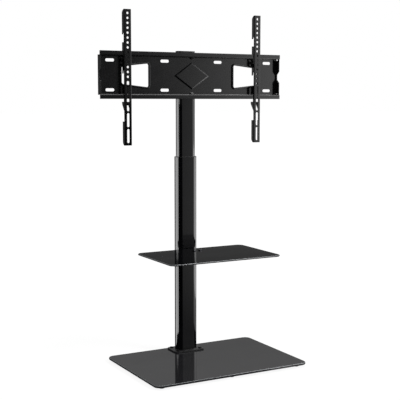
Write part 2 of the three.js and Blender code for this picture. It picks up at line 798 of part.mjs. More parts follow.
// A pressed gusset in the middle of a long bend; side is -1 at the bottom, 1 at the top
function gussetGeometry(side, shift) {
  const webY = webFront + plateSheet / 2 + shift;
  const flangeZ = webHalf - plateSheet / 2 + shift;
  return new ConvexGeometry([
    new THREE.Vector3(-gussetHalf, webY, side * flangeZ),
    new THREE.Vector3(gussetHalf, webY, side * flangeZ),
    new THREE.Vector3(0, webY, side * (flangeZ - gussetReach)),
    new THREE.Vector3(0, webY - gussetReach, side * flangeZ),
  ]);
}

// Pressed mount plate
function addMountPlate(head) {
  const half = webHalf;
  const hat = outline([
    [plateBack, -half, bendRadius],
    [plateBack, half, bendRadius],
    [lipBack, half, innerBend],
    [lipBack, lipHalf],
    [lipFront, lipHalf],
    [lipFront, half - plateSheet, bendRadius],
    [webFront, half - plateSheet, innerBend],
    [webFront, -half + plateSheet, innerBend],
    [lipFront, -half + plateSheet, bendRadius],
    [lipFront, -lipHalf],
    [lipBack, -lipHalf],
    [lipBack, -half, innerBend],
  ]);
  const endX = webWidth / 2;
  const lipX = endX + lipOverhang;
  const section = alongX(hat, -lipX, lipX, bendSteps);
  const tabHalf = half - endTabTrim;
  const tabShape = outline([
    [webFront + plateSheet / 2, -tabHalf],
    [webFront + plateSheet / 2, tabHalf],
    [lipFront, tabHalf],
    [lipFront, endNotchOuter / 2, innerBend],
    [lipFront + endNotchDepth, endNotchInner / 2, innerBend],
    [lipFront + endNotchDepth, -endNotchInner / 2, innerBend],
    [lipFront, -endNotchOuter / 2, innerBend],
    [lipFront, -tabHalf],
  ]);
  const endTabs = [-endX, endX - plateSheet].map((x) => alongX(tabShape, x, x + plateSheet, bendSteps));
  const boss = bossGeometry(webFront - bossRise, webFront + plateSheet / 2, 0);
  const gussets = [-1, 1].map((side) => gussetGeometry(side, 0));
  const collars = [-1, 1].map((side) => (
    alongY(windowShape(side, plateSheet), webFront - collarHeight, plateBack - plateSheet / 2)
  ));

  const through = [webFront - collarHeight - overrun, plateBack + overrun];
  const windows = [-1, 1].map((side) => alongY(windowShape(side, 0), ...through));
  const slots = [-wallSlotOuter, -wallSlotInner, wallSlotInner, wallSlotOuter].flatMap((x) => (
    [-wallSlotRise, wallSlotRise].map((z) => (
      alongY(stadium(wallSlotLength, wallSlotWidth), ...through).translate(x, 0, z)
    ))
  ));
  const bossHollow = bossGeometry(webFront - bossRise + plateSheet, plateBack + plateSheet / 2, innerBend);
  const gussetHollows = [-1, 1].map((side) => gussetGeometry(side, plateSheet));
  const webEnds = [-1, 1].map((side) => {
    const edges = [side * endX, side * (lipX + overrun)].sort((a, b) => a - b);
    return block(edges, [webFront - overrun, plateBack + overrun], [-half, half]);
  });
  const reliefs = [-1, 1].flatMap((side) => [-1, 1].map((end) => {
    const across = [side * (endX - cornerRelief), side * (lipX + overrun)].sort((a, b) => a - b);
    const up = [end * tabHalf, end * (half + overrun)].sort((a, b) => a - b);
    return block(across, [webFront - cornerRelief, plateBack + overrun], up);
  }));

  const pressed = joined(section, ...endTabs, boss, ...gussets, ...collars);
  const tools = [...windows, ...slots, bossHollow, ...gussetHollows, ...webEnds, ...reliefs];
  addPiece(head, 'wall_plate', cut(pressed, ...tools), powderCoat);
}

// The side of an arm in (y, z), with the hooks and the notch cut from its back edge
function armSideShape() {
  const front = armFront - overrun;
  const seat = lipFront - fit;
  const firstHook = lipHalf + fit;
  const hooks = [
    { top: firstHook - hookPitch, opening: thirdOpening, pocket: thirdPocket },
    { top: firstHook, opening: hookOpening, pocket: hookPocket },
    { top: firstHook + hookPitch, opening: hookOpening, pocket: hookPocket },
  ];
  const hookCorners = hooks.flatMap(({ top, opening, pocket }) => [
    [armBack, top - pocket - opening],
    [seat, top - pocket - opening, innerBend],
    [seat, top],
    [seat + hookMouth, top],
    [seat + hookMouth + hookFlare, top - pocket],
    [armBack, top - pocket],
  ]);
  const notchTop = -webHalf + lowerNotchMargin;
  return outline([
    [front, -armBottom],
    [armBack - armFootCutDepth, -armBottom, armCutRound],
    [armBack, -armBottom + armFootCut, armCutRound],
    [armBack, -lowerNotchBottom],
    [seat, -lowerNotchBottom, innerBend],
    [seat, notchTop, innerBend],
    [armBack, notchTop],
    ...hookCorners,
    [armBack, armTop - armTopCut, armCutRound],
    [armBack - armTopCutDepth, armTop, armCutRound],
    [front, armTop],
  ]);
}

function addArm(head, name, x) {
  const half = armWidth / 2;
  const channelShape = outline([
    [-half, armFront, armBend],
    [half, armFront, armBend],
    [half, armBack],
    [half - armSheet, armBack],
    [half - armSheet, armFront + armSheet, innerBend],
    [-half + armSheet, armFront + armSheet, innerBend],
    [-half + armSheet, armBack],
    [-half, armBack],
  ]);
  const channel = upright(channelShape, -armBottom, armTop, bendSteps);
  const side = alongX(armSideShape(), -half - overrun, half + overrun, bendSteps);
  const through = [armFront - overrun, armFront + armSheet + overrun];
  const holes = Array.from({ length: armHoles }, (_, index) => {
    const height = armTop - armHoleTop - index * armHolePitch;
    return alongY(circle(armHoleRadius), ...through).translate(0, 0, height);
  });
  const slots = Array.from({ length: armSlots }, (_, index) => {
    const height = -armSlotFirst - index * armSlotPitch;
    return alongY(stadium(armSlotWidth, armSlotLength), ...through).translate(0, 0, height);
  });
  addPiece(head, name, cut(common(channel, side), ...holes, ...slots), powderCoat, x);
}

// Lock tab inside an arm: its fingers rise behind the plate's lower lip
function addLock(head, side, x) {
  const half = armWidth / 2 - armSheet - fit;
  const tabFront = armFront + armSheet + fit;
  const tabBack = lipFront + lockBack;
  const fingerFront = lipBack + fit;
  const channelShape = outline([
    [-half, tabFront],
    [half, tabFront],
    [half, tabBack],
    [half - lockSheet, tabBack],
    [half - lockSheet, tabFront + lockSheet],
    [-half + lockSheet, tabFront + lockSheet],
    [-half + lockSheet, tabBack],
    [-half, tabBack],
  ]);
  const channel = upright(channelShape, -lockBottom, -lockTop + fingerHeight, bendSteps);
  const sideShape = outline([
    [tabFront - overrun, -lockBottom],
    [lipFront + lockToe, -lockBottom, innerBend],
    [tabBack, -lockTop - lockBackHeight, lockBackHeight / 2],
    [tabBack, -lockTop, innerBend],
    [fingerFront + fingerWidth, -lockTop, innerBend],
    [fingerFront + fingerWidth, -lockTop + fingerHeight, innerBend],
    [fingerFront, -lockTop + fingerHeight, innerBend],
    [fingerFront, -lockTop],
    [tabFront - overrun, -lockTop],
  ]);
  const tab = common(channel, alongX(sideShape, -half - overrun, half + overrun, bendSteps));
  const through = [tabFront - overrun, tabFront + lockSheet + overrun];
  const screwHole = alongY(circle(lockScrewRadius + fit), ...through).translate(0, 0, -lockScrewDrop);
  addPiece(head, `lock_${side}`, cut(tab, screwHole), powderCoat, x);

  const headSeat = tabFront - fit;
  const headHeight = headSeat - armFront + lockHeadProud;
  const shank = 2 * fit + lockSheet + lockNutThick;
  const screw = screwGeometry(lockHeadRadius, headHeight, lockScrewRadius, shank);
  const screwMesh = addPiece(head, `lock_screw_${side}`, screw, blackZinc, x, headSeat, -lockScrewDrop);
  screwMesh.rotation.x = Math.PI / 2;
  const nut = nutGeometry(lockNutRadius, lockScrewRadius, lockNutThick);
  const nutSeat = tabFront + lockSheet + fit;
  const nutMesh = addPiece(head, `lock_nut_${side}`, nut, blackZinc, x, nutSeat, -lockScrewDrop);
  nutMesh.rotation.x = -Math.PI / 2;
}

const stand = new THREE.Group();
addBase(stand);
addLowerColumn(stand);
addShelf(stand);

const mountHead = new THREE.Group();
mountHead.position.z = plateCentre;
stand.add(mountHead);
addUpperColumn(mountHead);
addYoke(mountHead);
addKnuckle(mountHead);
addMountPlate(mountHead);
['left', 'right'].forEach((side, index) => {
  const x = index === 0 ? -armSpacing / 2 : armSpacing / 2;
  addArm(mountHead, `arm_${side}`, x);
  addLock(mountHead, side, x);
});

export default stand;
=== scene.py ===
import json
import math
import bmesh
import bpy
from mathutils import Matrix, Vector

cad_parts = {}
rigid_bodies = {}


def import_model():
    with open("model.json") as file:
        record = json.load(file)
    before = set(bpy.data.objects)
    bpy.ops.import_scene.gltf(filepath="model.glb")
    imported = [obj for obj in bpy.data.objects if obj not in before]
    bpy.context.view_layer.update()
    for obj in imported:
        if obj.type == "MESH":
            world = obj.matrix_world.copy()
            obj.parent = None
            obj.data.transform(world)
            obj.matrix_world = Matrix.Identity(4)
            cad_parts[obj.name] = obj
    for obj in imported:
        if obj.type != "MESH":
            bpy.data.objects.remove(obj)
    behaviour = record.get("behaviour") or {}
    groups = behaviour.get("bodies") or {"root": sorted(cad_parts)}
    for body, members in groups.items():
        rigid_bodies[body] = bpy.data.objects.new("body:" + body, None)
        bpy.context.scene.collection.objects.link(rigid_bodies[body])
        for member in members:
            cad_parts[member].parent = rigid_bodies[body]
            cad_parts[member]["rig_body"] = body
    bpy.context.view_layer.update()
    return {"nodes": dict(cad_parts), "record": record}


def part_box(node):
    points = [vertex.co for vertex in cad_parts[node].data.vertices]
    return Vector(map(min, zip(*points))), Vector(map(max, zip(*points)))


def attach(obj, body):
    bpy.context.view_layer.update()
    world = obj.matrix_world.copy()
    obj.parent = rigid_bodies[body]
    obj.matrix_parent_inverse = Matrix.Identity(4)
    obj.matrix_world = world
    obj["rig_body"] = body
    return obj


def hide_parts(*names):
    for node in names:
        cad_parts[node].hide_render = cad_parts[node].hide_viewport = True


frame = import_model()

nodes = frame["nodes"]
record = frame["record"]
slotOf = {part["node"]: part["material_slot"] for part in record["subparts"]}
openings = {gap["name"]: gap["box_m"] for gap in record["physics"]["openings"]}
mm = 0.001
clearance = 0.3 * mm      # gap where one piece seats on another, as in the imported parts
overrun = 2 * mm          # how far a cutter reaches past what it cuts
weldGap = 0.01 * mm       # corners closer than this are one
sameWay = 0.999           # cosine from which two ways count as one
flatAngle = 0.4           # degrees between faces that count as one
sharpAngle = 57           # degrees between faces that meet at a sharp edge


def toMetres(settings):
    return {name: value * mm for name, value in settings.items()}


# Selecting and shaping

def clearSelection():
    if bpy.context.object and bpy.context.object.mode != "OBJECT":
        bpy.ops.object.mode_set(mode="OBJECT")
    bpy.ops.object.select_all(action="DESELECT")


def take(piece):
    clearSelection()
    piece.select_set(True)
    bpy.context.view_layer.objects.active = piece


def settle(name):
    piece = bpy.context.object
    piece.name = name
    bpy.ops.object.transform_apply(location=True, rotation=True, scale=True)
    return piece


def pick(piece, kind, test):
    # in edit mode: selects the corners, edges or faces that pass the test
    take(piece)
    bpy.ops.object.mode_set(mode="EDIT")
    bpy.ops.mesh.select_mode(type=kind)
    bpy.ops.mesh.select_all(action="DESELECT")
    mesh = bmesh.from_edit_mesh(piece.data)
    for item in {"VERT": mesh.verts, "EDGE": mesh.edges, "FACE": mesh.faces}[kind]:
        if test(item):
            item.select_set(True)
    mesh.select_flush_mode()
    bmesh.update_edit_mesh(piece.data)


def leaveEditing():
    bpy.ops.object.mode_set(mode="OBJECT")


def runsAlong(edge, axis):
    apart = edge.verts[1].co - edge.verts[0].co
    return abs(apart["xyz".index(axis)]) > sameWay * apart.length


def along(axis):
    return lambda edge: runsAlong(edge, axis)


def facing(axis, *sides):
    # a test for faces that look up an axis (1), down it (-1) or both
    return lambda face: any(side * face.normal["xyz".index(axis)] > sameWay for side in sides)


def addBlock(name, low, high):
    clearSelection()
    middle = [(a + b) / 2 for a, b in zip(low, high)]
    bpy.ops.mesh.primitive_cube_add(size=1, location=middle, scale=[b - a for a, b in zip(low, high)])
    return settle(name)


def addRod(name, centre, axis, radius, length, sides=48):
    # a round one is turned by half a step about its own axis, so that no corner lies on its middle planes
    halfStep = math.pi / sides if sides > 6 else 0
    turn = {"y": (math.pi / 2, halfStep, 0), "z": (0, 0, halfStep)}[axis]
    clearSelection()
    bpy.ops.mesh.primitive_cylinder_add(
        vertices=sides, radius=radius, depth=length, location=centre, rotation=turn,
    )
    return settle(name)


def addOval(name, centre, axis, radius, length, spread, sides=48):
    # a rod whose halves are drawn apart, which leaves two flats
    piece = addRod(name, centre, axis, radius, length, sides)
    way = Vector(spread)
    middle = Vector(centre)
    for side in (1, -1):
        pick(piece, "VERT", lambda corner: side * way.dot(corner.co - middle) > 0)
        bpy.ops.transform.translate(value=side * way)
        leaveEditing()
    return piece


def addPrism(name, corners, axis, start, end):
    # a round primitive whose corners move to an outline, extruded along an axis
    clearSelection()
    bpy.ops.mesh.primitive_circle_add(vertices=len(corners), radius=1, fill_type="NGON")
    piece = settle(name)
    for corner, (a, b) in zip(piece.data.vertices, corners):
        corner.co = {"x": (start, a, b), "y": (a, start, b), "z": (a, b, start)}[axis]
    run = end - start
    move = {"x": (run, 0, 0), "y": (0, run, 0), "z": (0, 0, run)}[axis]
    bpy.ops.object.mode_set(mode="EDIT")
    bpy.ops.mesh.select_all(action="SELECT")
    bpy.ops.mesh.extrude_region_move(TRANSFORM_OT_translate={"value": move})
    bpy.ops.mesh.select_all(action="SELECT")
    bpy.ops.mesh.normals_make_consistent(inside=False)
    leaveEditing()
    return piece


def bevelEdges(piece, test, radius, steps, kind="EDGE"):
    # rounds the edges that pass the test, or the rims of the faces that do
    pick(piece, kind, test)
    if kind == "FACE":
        bpy.ops.mesh.region_to_loop()
    bpy.ops.mesh.bevel(offset=radius, segments=steps, profile=0.5, affect="EDGES")
    leaveEditing()


def bevelRims(piece, test, radius, steps):
    bevelEdges(piece, test, radius, steps, "FACE")


def roundEdges(piece, axis, spots, radius, steps):
    # rounds the edges along an axis that pass through the given points of the outline
    first, second = [index for index in range(3) if "xyz"[index] != axis]

    def isNear(edge):
        place = edge.verts[0].co
        gaps = [abs(place[first] - a) + abs(place[second] - b) for a, b in spots]
        return runsAlong(edge, axis) and min(gaps) < 2 * weldGap

    bevelEdges(piece, isNear, radius, steps)


def useModifier(piece, kind, settings):
    take(piece)
    modifier = piece.modifiers.new(kind.lower(), kind)
    for name, value in settings.items():
        setattr(modifier, name, value)
    bpy.ops.object.modifier_apply(modifier=modifier.name)


def combine(piece, tools, operation):
    take(tools[0])
    for tool in tools:
        tool.select_set(True)
    if len(tools) > 1:
        bpy.ops.object.join()
    whole = bpy.context.object
    useModifier(piece, "BOOLEAN", {"operation": operation, "object": whole, "solver": "EXACT"})
    bpy.data.objects.remove(whole)
    return piece


def openFaces(piece, test):
    # takes away the faces that pass the test, which leaves a skin without thickness
    pick(piece, "FACE", test)
    bpy.ops.mesh.delete(type="ONLY_FACE")
    leaveEditing()


def thicken(piece, sheet):
    useModifier(piece, "SOLIDIFY", {"thickness": sheet, "offset": -1, "use_even_offset": True})


def addHoles(spots, axis, radius, length, sides=32):
    return [addRod("hole", spot, axis, radius, length, sides) for spot in spots]


def cutAway(piece, tools):
    return combine(piece, tools, "DIFFERENCE")


def joinOn(piece, tools):
    return combine(piece, tools, "UNION")


def easeEdges(piece, width, steps=2, angle=28):
    # the small radius that a sheared or moulded edge has
    take(piece)
    bpy.ops.object.mode_set(mode="EDIT")
    bpy.ops.mesh.select_all(action="SELECT")
    bpy.ops.mesh.remove_doubles(threshold=weldGap)
    bpy.ops.mesh.dissolve_limited(angle_limit=math.radians(flatAngle))
    leaveEditing()
    useModifier(piece, "BEVEL", {
        "width": width,
        "segments": steps,
        "limit_method": "ANGLE",
        "angle_limit": math.radians(angle),
        "use_clamp_overlap": False,
    })


def smooth(piece, angle=32):
    take(piece)
    bpy.ops.object.shade_smooth_by_angle(angle=math.radians(angle))
    useModifier(piece, "WEIGHTED_NORMAL", {"keep_sharp": True, "weight": 100})


def copyTo(piece, name, shift):
    # a copy with a mesh of its own, moved in that mesh
    take(piece)
    bpy.ops.object.duplicate()
    bpy.ops.transform.translate(value=shift)
    return settle(name)


def fit(piece, node, *paints):
    # the piece takes the node's place: its body, its slot and its finish
    piece.data.materials.clear()
    for paint in paints:
        piece.data.materials.append(paint)
    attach(piece, nodes[node]["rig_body"])
    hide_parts(node)


def soften(piece, ease):
    easeEdges(piece, ease)
    smooth(piece)
    return piece


def middleOf(node):
    low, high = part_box(node)
    return (low + high) / 2


def middlesOf(kind, *places):
    return [middleOf(f"{kind}_{place}") for place in places]


def fitAll(piece, node, paint, copies):
    # the piece and its copies take their nodes' places
    for name, other in copies.items():
        fit(copyTo(piece, name, middleOf(other) - middleOf(node)), other, paint)
    fit(piece, node, paint)


def drill(plate, node, bolts, radius):
    # upright holes right through a flat piece
    low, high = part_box(node)
    spots = [(bolt.x, bolt.y, (low.z + high.z) / 2) for bolt in bolts]
    cutAway(plate, addHoles(spots, "z", radius, high.z - low.z + 2 * overrun, sides=48))


# Nodes of materials and of the world

def toLinear(hexColour):
    shares = [int(hexColour[i:i + 2], 16) / 255 for i in (1, 3, 5)]
    return tuple(s / 12.92 if s <= 0.04045 else ((s + 0.055) / 1.055) ** 2.4 for s in shares) + (1,)


def addNode(tree, kind, settings=None, links=None):
    node = tree.nodes.new("ShaderNode" + kind)
    for name, value in (settings or {}).items():
        if isinstance(name, int) or name in node.inputs:
            node.inputs[name].default_value = value
        else:
            setattr(node, name, value)
    for name, socket in (links or {}).items():
        tree.links.new(socket, node.inputs[name])
    return node


# Camera: the photograph's place and angle, found from the straight edges of the foot plate and arms
cameraSet = {
    "place": (-1.5850, -2.8587, 0.9446), "down": 6.1106, "turn": 28.6057, "lens": 83.437, "sensor": 36,
}

clearSelection()
bpy.ops.object.camera_add(
    location=cameraSet["place"],
    rotation=(math.radians(90 - cameraSet["down"]), 0, math.radians(-cameraSet["turn"])),
)
camera = bpy.context.object
camera.data.lens = cameraSet["lens"]
camera.data.sensor_width = cameraSet["sensor"]
bpy.context.scene.camera = camera
bpy.context.scene.view_settings.view_transform = "Standard"
print("camera done")


# Studio: white floor and background, a soft key light from the front right, and for reflections alone
# a graded room with cards and a flag, as a photographer sets them round a glossy black object
studioSet = {
    "floorSize": 120,
    "floorShade": 0.18,       # share of the floor's white that takes light and shadow
    "floorGlow": 0.88,
    "floorBounce": 0.8,       # grey of the floor for rays that light the object
    "worldFill": 0.62,        # plain light from all round
    "keyStrength": 1.5,
    "keyTurn": 32,            # degrees to the right of the front
    "keyRise": 32,
    "keySoftness": 22,
}
# How bright reflections see the room: degrees round from the front to the right, near eye level
turnGrades = [
    (-180, 0.5), (-166, 0.12), (-158, 0.08), (-151, 0.35), (-145, 0.5), (-132, 0.08), (-95, 0.1), (-30, 0.1),
    (8, 0.08), (20, 0.04), (25, 0.13), (28, 0.42), (31, 1.0), (34, 1.7), (38, 2.7), (42, 3.0), (55, 2.2),
    (90, 2.0), (112, 1.0), (135, 0.45), (160, 0.4), (180, 0.5),
]
# and by height, as the sine of the rise: below eye level a share of the grades above, then the room itself
lowGrades = [(-1.0, 0.1), (-0.5, 0.08), (-0.24, 0.45), (-0.185, 1.0), (1.0, 1.0)]
roomGrades = [
    (0.0, 0.9), (0.09, 0.9), (0.145, 0.09), (0.185, 0.07), (0.25, 0.24), (0.29, 0.31), (0.5, 0.42),
    (0.62, 1.1), (1.0, 1.3),
]
roomStart = {"From Min": 0.09, "From Max": 0.13}
# the room above is dark on the left and lightest on the right
sideGrades = [
    (-180, 0.143), (-165, 0.143), (-140, 0.013), (12, 0.013), (21, 0.2), (32, 0.6), (45, 1.0), (115, 1.0),
    (135, 0.143), (180, 0.143),
]
sideLight = 7


def grey(share):
    return (share, share, share, 1)


white = grey(1)


def showsBackground(tree):
    # true for rays that see the backdrop: from the camera, from gloss and through glass
    path = addNode(tree, "LightPath").outputs
    larger = {"operation": "MAXIMUM"}
    either = addNode(tree, "Math", larger, {0: path["Is Camera Ray"], 1: path["Is Glossy Ray"]})
    shown = addNode(tree, "Math", larger, {0: either.outputs[0], 1: path["Is Transmission Ray"]})
    return path, shown.outputs[0]


def addGrades(tree, source, low, high, grades):
    # a colour ramp whose steps are given in the source's own numbers
    place = addNode(tree, "MapRange", {"From Min": low, "From Max": high}, {"Value": source})
    ramp = addNode(tree, "ValToRGB", links={0: place.outputs[0]})
    steps = ramp.color_ramp.elements
    for index, (value, share) in enumerate(grades):
        position = (value - low) / (high - low)
        step = steps[index] if index < 2 else steps.new(position)
        step.position = position
        step.color = grey(share)
    return ramp.outputs[0]


def makeWorld():
    world = bpy.data.worlds.new("studio")
    bpy.context.scene.world = world
    world.use_nodes = True
    tree = world.node_tree
    tree.nodes.clear()
    path, shown = showsBackground(tree)
    place = addNode(tree, "TexCoord")
    way = addNode(tree, "SeparateXYZ", links={0: place.outputs["Generated"]}).outputs
    ahead = addNode(tree, "Math", {"operation": "MULTIPLY", 1: -1}, {0: way["Y"]})
    turn = addNode(tree, "Math", {"operation": "ARCTAN2"}, {0: way["X"], 1: ahead.outputs[0]})
    degrees = addNode(tree, "Math", {"operation": "DEGREES"}, {0: turn.outputs[0]}).outputs[0]
    multiply = {"blend_type": "MULTIPLY", "Fac": 1}
    around = addGrades(tree, degrees, -180, 180, turnGrades)
    low = addGrades(tree, way["Z"], -1, 1, lowGrades)
    eyeLevel = addNode(tree, "MixRGB", multiply, {"Color1": around, "Color2": low}).outputs[0]
    room = addGrades(tree, way["Z"], 0, 1, roomGrades)
    side = addGrades(tree, degrees, -180, 180, sideGrades)
    lit = addNode(tree, "MixRGB", multiply, {"Color1": room, "Color2": side}).outputs[0]
    raised = addNode(tree, "VectorMath", {"operation": "SCALE", "Scale": sideLight}, {0: lit}).outputs[0]
    above = addNode(tree, "MapRange", roomStart, {"Value": way["Z"]}).outputs[0]
    both = addNode(tree, "MixRGB", links={"Fac": above, "Color1": eyeLevel, "Color2": raised})
    graded = addNode(tree, "Background", {"Strength": 1}, {"Color": both.outputs[0]})
    backdrop = addNode(tree, "Background", {"Color": white, "Strength": 1})
    plain = addNode(tree, "Background", {"Color": white, "Strength": studioSet["worldFill"]})
    looks = {0: path["Is Camera Ray"], 1: graded.outputs[0], 2: backdrop.outputs[0]}
    seen = addNode(tree, "MixShader", links=looks)
    mixed = addNode(tree, "MixShader", links={0: shown, 1: plain.outputs[0], 2: seen.outputs[0]})
    addNode(tree, "OutputWorld", links={"Surface": mixed.outputs[0]})


def startPaint(piece, name):
    # a material of the piece's own, whose node tree is still empty
    paint = bpy.data.materials.new(name)
    paint.use_nodes = True
    paint.node_tree.nodes.clear()
    piece.data.materials.append(paint)
    return paint.node_tree


def makeFloor():
    bpy.ops.mesh.primitive_plane_add(size=studioSet["floorSize"])
    floor = bpy.context.object
    floor.name = "floor"
    tree = startPaint(floor, "whitePaper")
    _, shown = showsBackground(tree)
    bounce = addNode(tree, "BsdfDiffuse", {"Color": grey(studioSet["floorBounce"])})
    shaded = addNode(tree, "BsdfDiffuse", {"Color": grey(studioSet["floorShade"])})
    glow = addNode(tree, "Emission", {"Color": white, "Strength": studioSet["floorGlow"]})
    both = addNode(tree, "AddShader", links={0: shaded.outputs[0], 1: glow.outputs[0]})
    mixed = addNode(tree, "MixShader", links={0: shown, 1: bounce.outputs[0], 2: both.outputs[0]})
    addNode(tree, "OutputMaterial", links={"Surface": mixed.outputs[0]})
    floor.visible_glossy = False


def makeKeyLight():
    # it lights colours but leaves no hot spot: gloss comes from the room and the cards
    bpy.ops.object.light_add(type="SUN")
    key = bpy.context.object
    key.name = "keyLight"
    key.data.energy = studioSet["keyStrength"]
    key.data.angle = math.radians(studioSet["keySoftness"])
    key.rotation_euler = (math.radians(90 - studioSet["keyRise"]), 0, math.radians(studioSet["keyTurn"]))
    key.visible_glossy = False


# Each card: centre, width and height, tilt and turn in degrees (90 upright, 0 to the front), brightness,
# and the pieces it lights. The glass, and a mount plate turned to the left, would mirror one as white.
# The flag is black and names none, so every piece mirrors it
columnNames = ("lowerTube", "upperTube", "guideCollar")
steelNames = columnNames + ("mountPlate", "leftArm", "rightArm", "leftLock", "rightLock")
cardSet = {
    "leftStrip": {
        "place": (-3.2, 0.51, -0.16), "size": (5.7, 2.28), "turn": (90, -90), "light": 6.5,
        "lights": columnNames,
    },
    "rightStrip": {
        "place": (2.3, 0.85, 0.9), "size": (2.7, 3.4), "turn": (90, 90), "light": 0.9,
        "lights": steelNames,
    },
    "lowRight": {
        "place": (1.15, -0.4, 0.36), "size": (1.3, 0.8), "turn": (120, 90), "light": 4.5,
        "lights": steelNames,
    },
    "frontFlag": {
        "place": (-0.42, -0.35, 0.34), "size": (1.28, 1.18), "turn": (90, 0), "light": 0,
        "lights": (),
    },
}


def makeCard(name, card):
    bpy.ops.mesh.primitive_plane_add(size=1)
    piece = bpy.context.object
    piece.name = name
    piece.scale = (card["size"][0], card["size"][1], 1)
    piece.rotation_euler = (math.radians(card["turn"][0]), 0, math.radians(card["turn"][1]))
    piece.location = card["place"]
    tree = startPaint(piece, name + "Paint")
    glow = addNode(tree, "Emission", {"Color": white, "Strength": card["light"]})
    addNode(tree, "OutputMaterial", links={"Surface": glow.outputs[0]})
    for ray in ("camera", "diffuse", "shadow", "transmission"):
        setattr(piece, "visible_" + ray, False)


clearSelection()
makeWorld()
makeFloor()
makeKeyLight()
for cardName, card in cardSet.items():
    makeCard(cardName, card)
print("studio done")


# Finishes. Colours are written as they look, and a pattern's scale is one over its size in metres

def thinCoatAndEdgeHighlight(tree, tone, colour):
    # a baked coat pulls thin on sheared edges, and the edges take the given colour: on the satin coat a much
    # lighter one, a painted highlight along every edge
    rounded = addNode(tree, "Bevel", {"samples": 4, "Radius": 1 * mm})
    shape = addNode(tree, "NewGeometry")
    ways = {0: rounded.outputs[0], 1: shape.outputs["Normal"]}
    meet = addNode(tree, "VectorMath", {"operation": "DOT_PRODUCT"}, ways)
    edgeHighlightShare = addNode(tree, "MapRange", {"From Min": 0.99, "From Max": 0.88}, {"Value": meet.outputs["Value"]})
    links = {"Fac": edgeHighlightShare.outputs[0], "Color1": tone.outputs[0]}
    return addNode(tree, "MixRGB", {"Color2": toLinear(colour)}, links)


def makeFinish(name, look, tones, gloss, drift, grain=None, relief=None, fineGloss=False, edge=None):
    # two tones and two degrees of gloss that drift into each other, and a finer grain in relief
    finish = bpy.data.materials.new(name)
    finish.use_nodes = True
    tree = finish.node_tree
    skin = tree.nodes["Principled BSDF"]
    for socket, value in look.items():
        skin.inputs[socket].default_value = value
    place = {"Vector": addNode(tree, "TexCoord").outputs["Object"]}
    slow = fine = addNode(tree, "TexNoise", drift, place).outputs[0]
    if grain:
        kind, output, settings = grain
        fine = addNode(tree, kind, settings, place).outputs[output]
    dark, light = (toLinear(tone) for tone in tones)
    tone = addNode(tree, "MixRGB", {"Color1": dark, "Color2": light}, {"Fac": slow})
    # the edges take the edge colour: a painted highlight where it is lighter than the tones
    if edge:
        tone = thinCoatAndEdgeHighlight(tree, tone, edge)
    ends = {"To Min": gloss[0], "To Max": gloss[1]}
    rough = addNode(tree, "MapRange", ends, {"Value": fine if fineGloss else slow})
    tree.links.new(tone.outputs[0], skin.inputs["Base Color"])
    tree.links.new(rough.outputs[0], skin.inputs["Roughness"])
    if relief:
        bump = addNode(tree, "Bump", {"Strength": relief[0], "Distance": relief[1]}, {"Height": fine})
        tree.links.new(bump.outputs[0], skin.inputs["Normal"])
    return finish


# Tempered float glass over black enamel. It mirrors like still water, the furnace's rollers bend the
# mirror a little, and a film from handling makes parts of it a shade softer and greyer. The rollers
# leave waves about 140 mm long and 0.1 mm high; a wave node's period is 0.314 over its scale
rollers = {
    "wave_type": "BANDS", "bands_direction": "Y", "Scale": 0.314 / 0.14, "Distortion": 1.2, "Detail": 1,
}
blackGlass = {
    "look": {"IOR": 1.52, "Specular IOR Level": 0.5},
    "gloss": (0.015, 0.07),
    "drift": {"Scale": 1 / 0.085, "Detail": 5, "Roughness": 0.62},
    "grain": ("TexWave", "Fac", rollers),
    "relief": (0.6, 0.1 * mm),
}
# The foot plate's glass is drawn lighter than the shelf's: painted light and reflection, for the brighter
# light that its top catches
footGlassPaintedLighter = makeFinish("blackGlassFootPlate", tones=("#1e1e20", "#2c2c2e"), **blackGlass)
shelfGlass = makeFinish("blackGlassShelf", tones=("#08080a", "#111113"), **blackGlass)

# Glass edge ground with a diamond wheel and left unpolished: grey, and drawn along by the grit, whose
# marks are about 0.15 mm, drawn at 1 mm so that they show
groundEdge = makeFinish(
    "groundGlassEdge", {"IOR": 1.52}, ("#505254", "#7c7e80"), (0.34, 0.6),
    {"Scale": 1 / (1 * mm), "Detail": 3, "Roughness": 0.7}, relief=(0.4, 0.03 * mm),
)

# Gloss stoving enamel on drawn steel tube: mirrors the room in long upright strips, whose edges the
# paint's orange peel makes slightly uneven
columnPaint = makeFinish(
    "glossStovingEnamel", {"IOR": 1.5}, ("#040405", "#08080a"), (0.04, 0.11),
    {"Scale": 1 / 0.04, "Detail": 3},
    ("TexNoise", 0, {"Scale": 1 / (2.5 * mm), "Detail": 1}), (0.5, 0.008 * mm),
)

# Satin polyester powder baked on pressed steel: melted grains leave a pebbled skin that spreads the
# light softly. The pebbles are about 0.5 mm, drawn at 1.4 mm so that they show
powder = {
    "look": {"IOR": 1.5},
    "drift": {"Scale": 1 / 0.03, "Detail": 4, "Roughness": 0.6},
    "grain": ("TexNoise", 0, {"Scale": 1 / (1.4 * mm), "Detail": 2}),
    "relief": (0.5, 0.03 * mm),
    # the edges' colour: much lighter than the satin coat, a painted highlight along its edges as well as the
    # thinner coat there
    "edge": "#1f1f21",
}
powderCoat = makeFinish("satinPowderCoat", tones=("#060607", "#0b0b0c"), gloss=(0.13, 0.2), **powder)
flangeCoat = makeFinish("mattPowderCoat", tones=("#222223", "#2b2b2c"), gloss=(0.34, 0.44), **powder)

# Black passivated zinc plating on a cold-headed screw: a dark metal with a faint oily tint that
# changes from place to place, and fine marks from the tumbling barrel
blackZinc = makeFinish(
    "blackZincPlating", {"Metallic": 1}, ("#1b1c20", "#2b2827"), (0.28, 0.48),
    {"Scale": 1 / (5 * mm), "Detail": 3},
    ("TexNoise", 0, {"Scale": 1 / (0.8 * mm), "Detail": 2}), (0.3, 0.02 * mm), fineGloss=True,
)

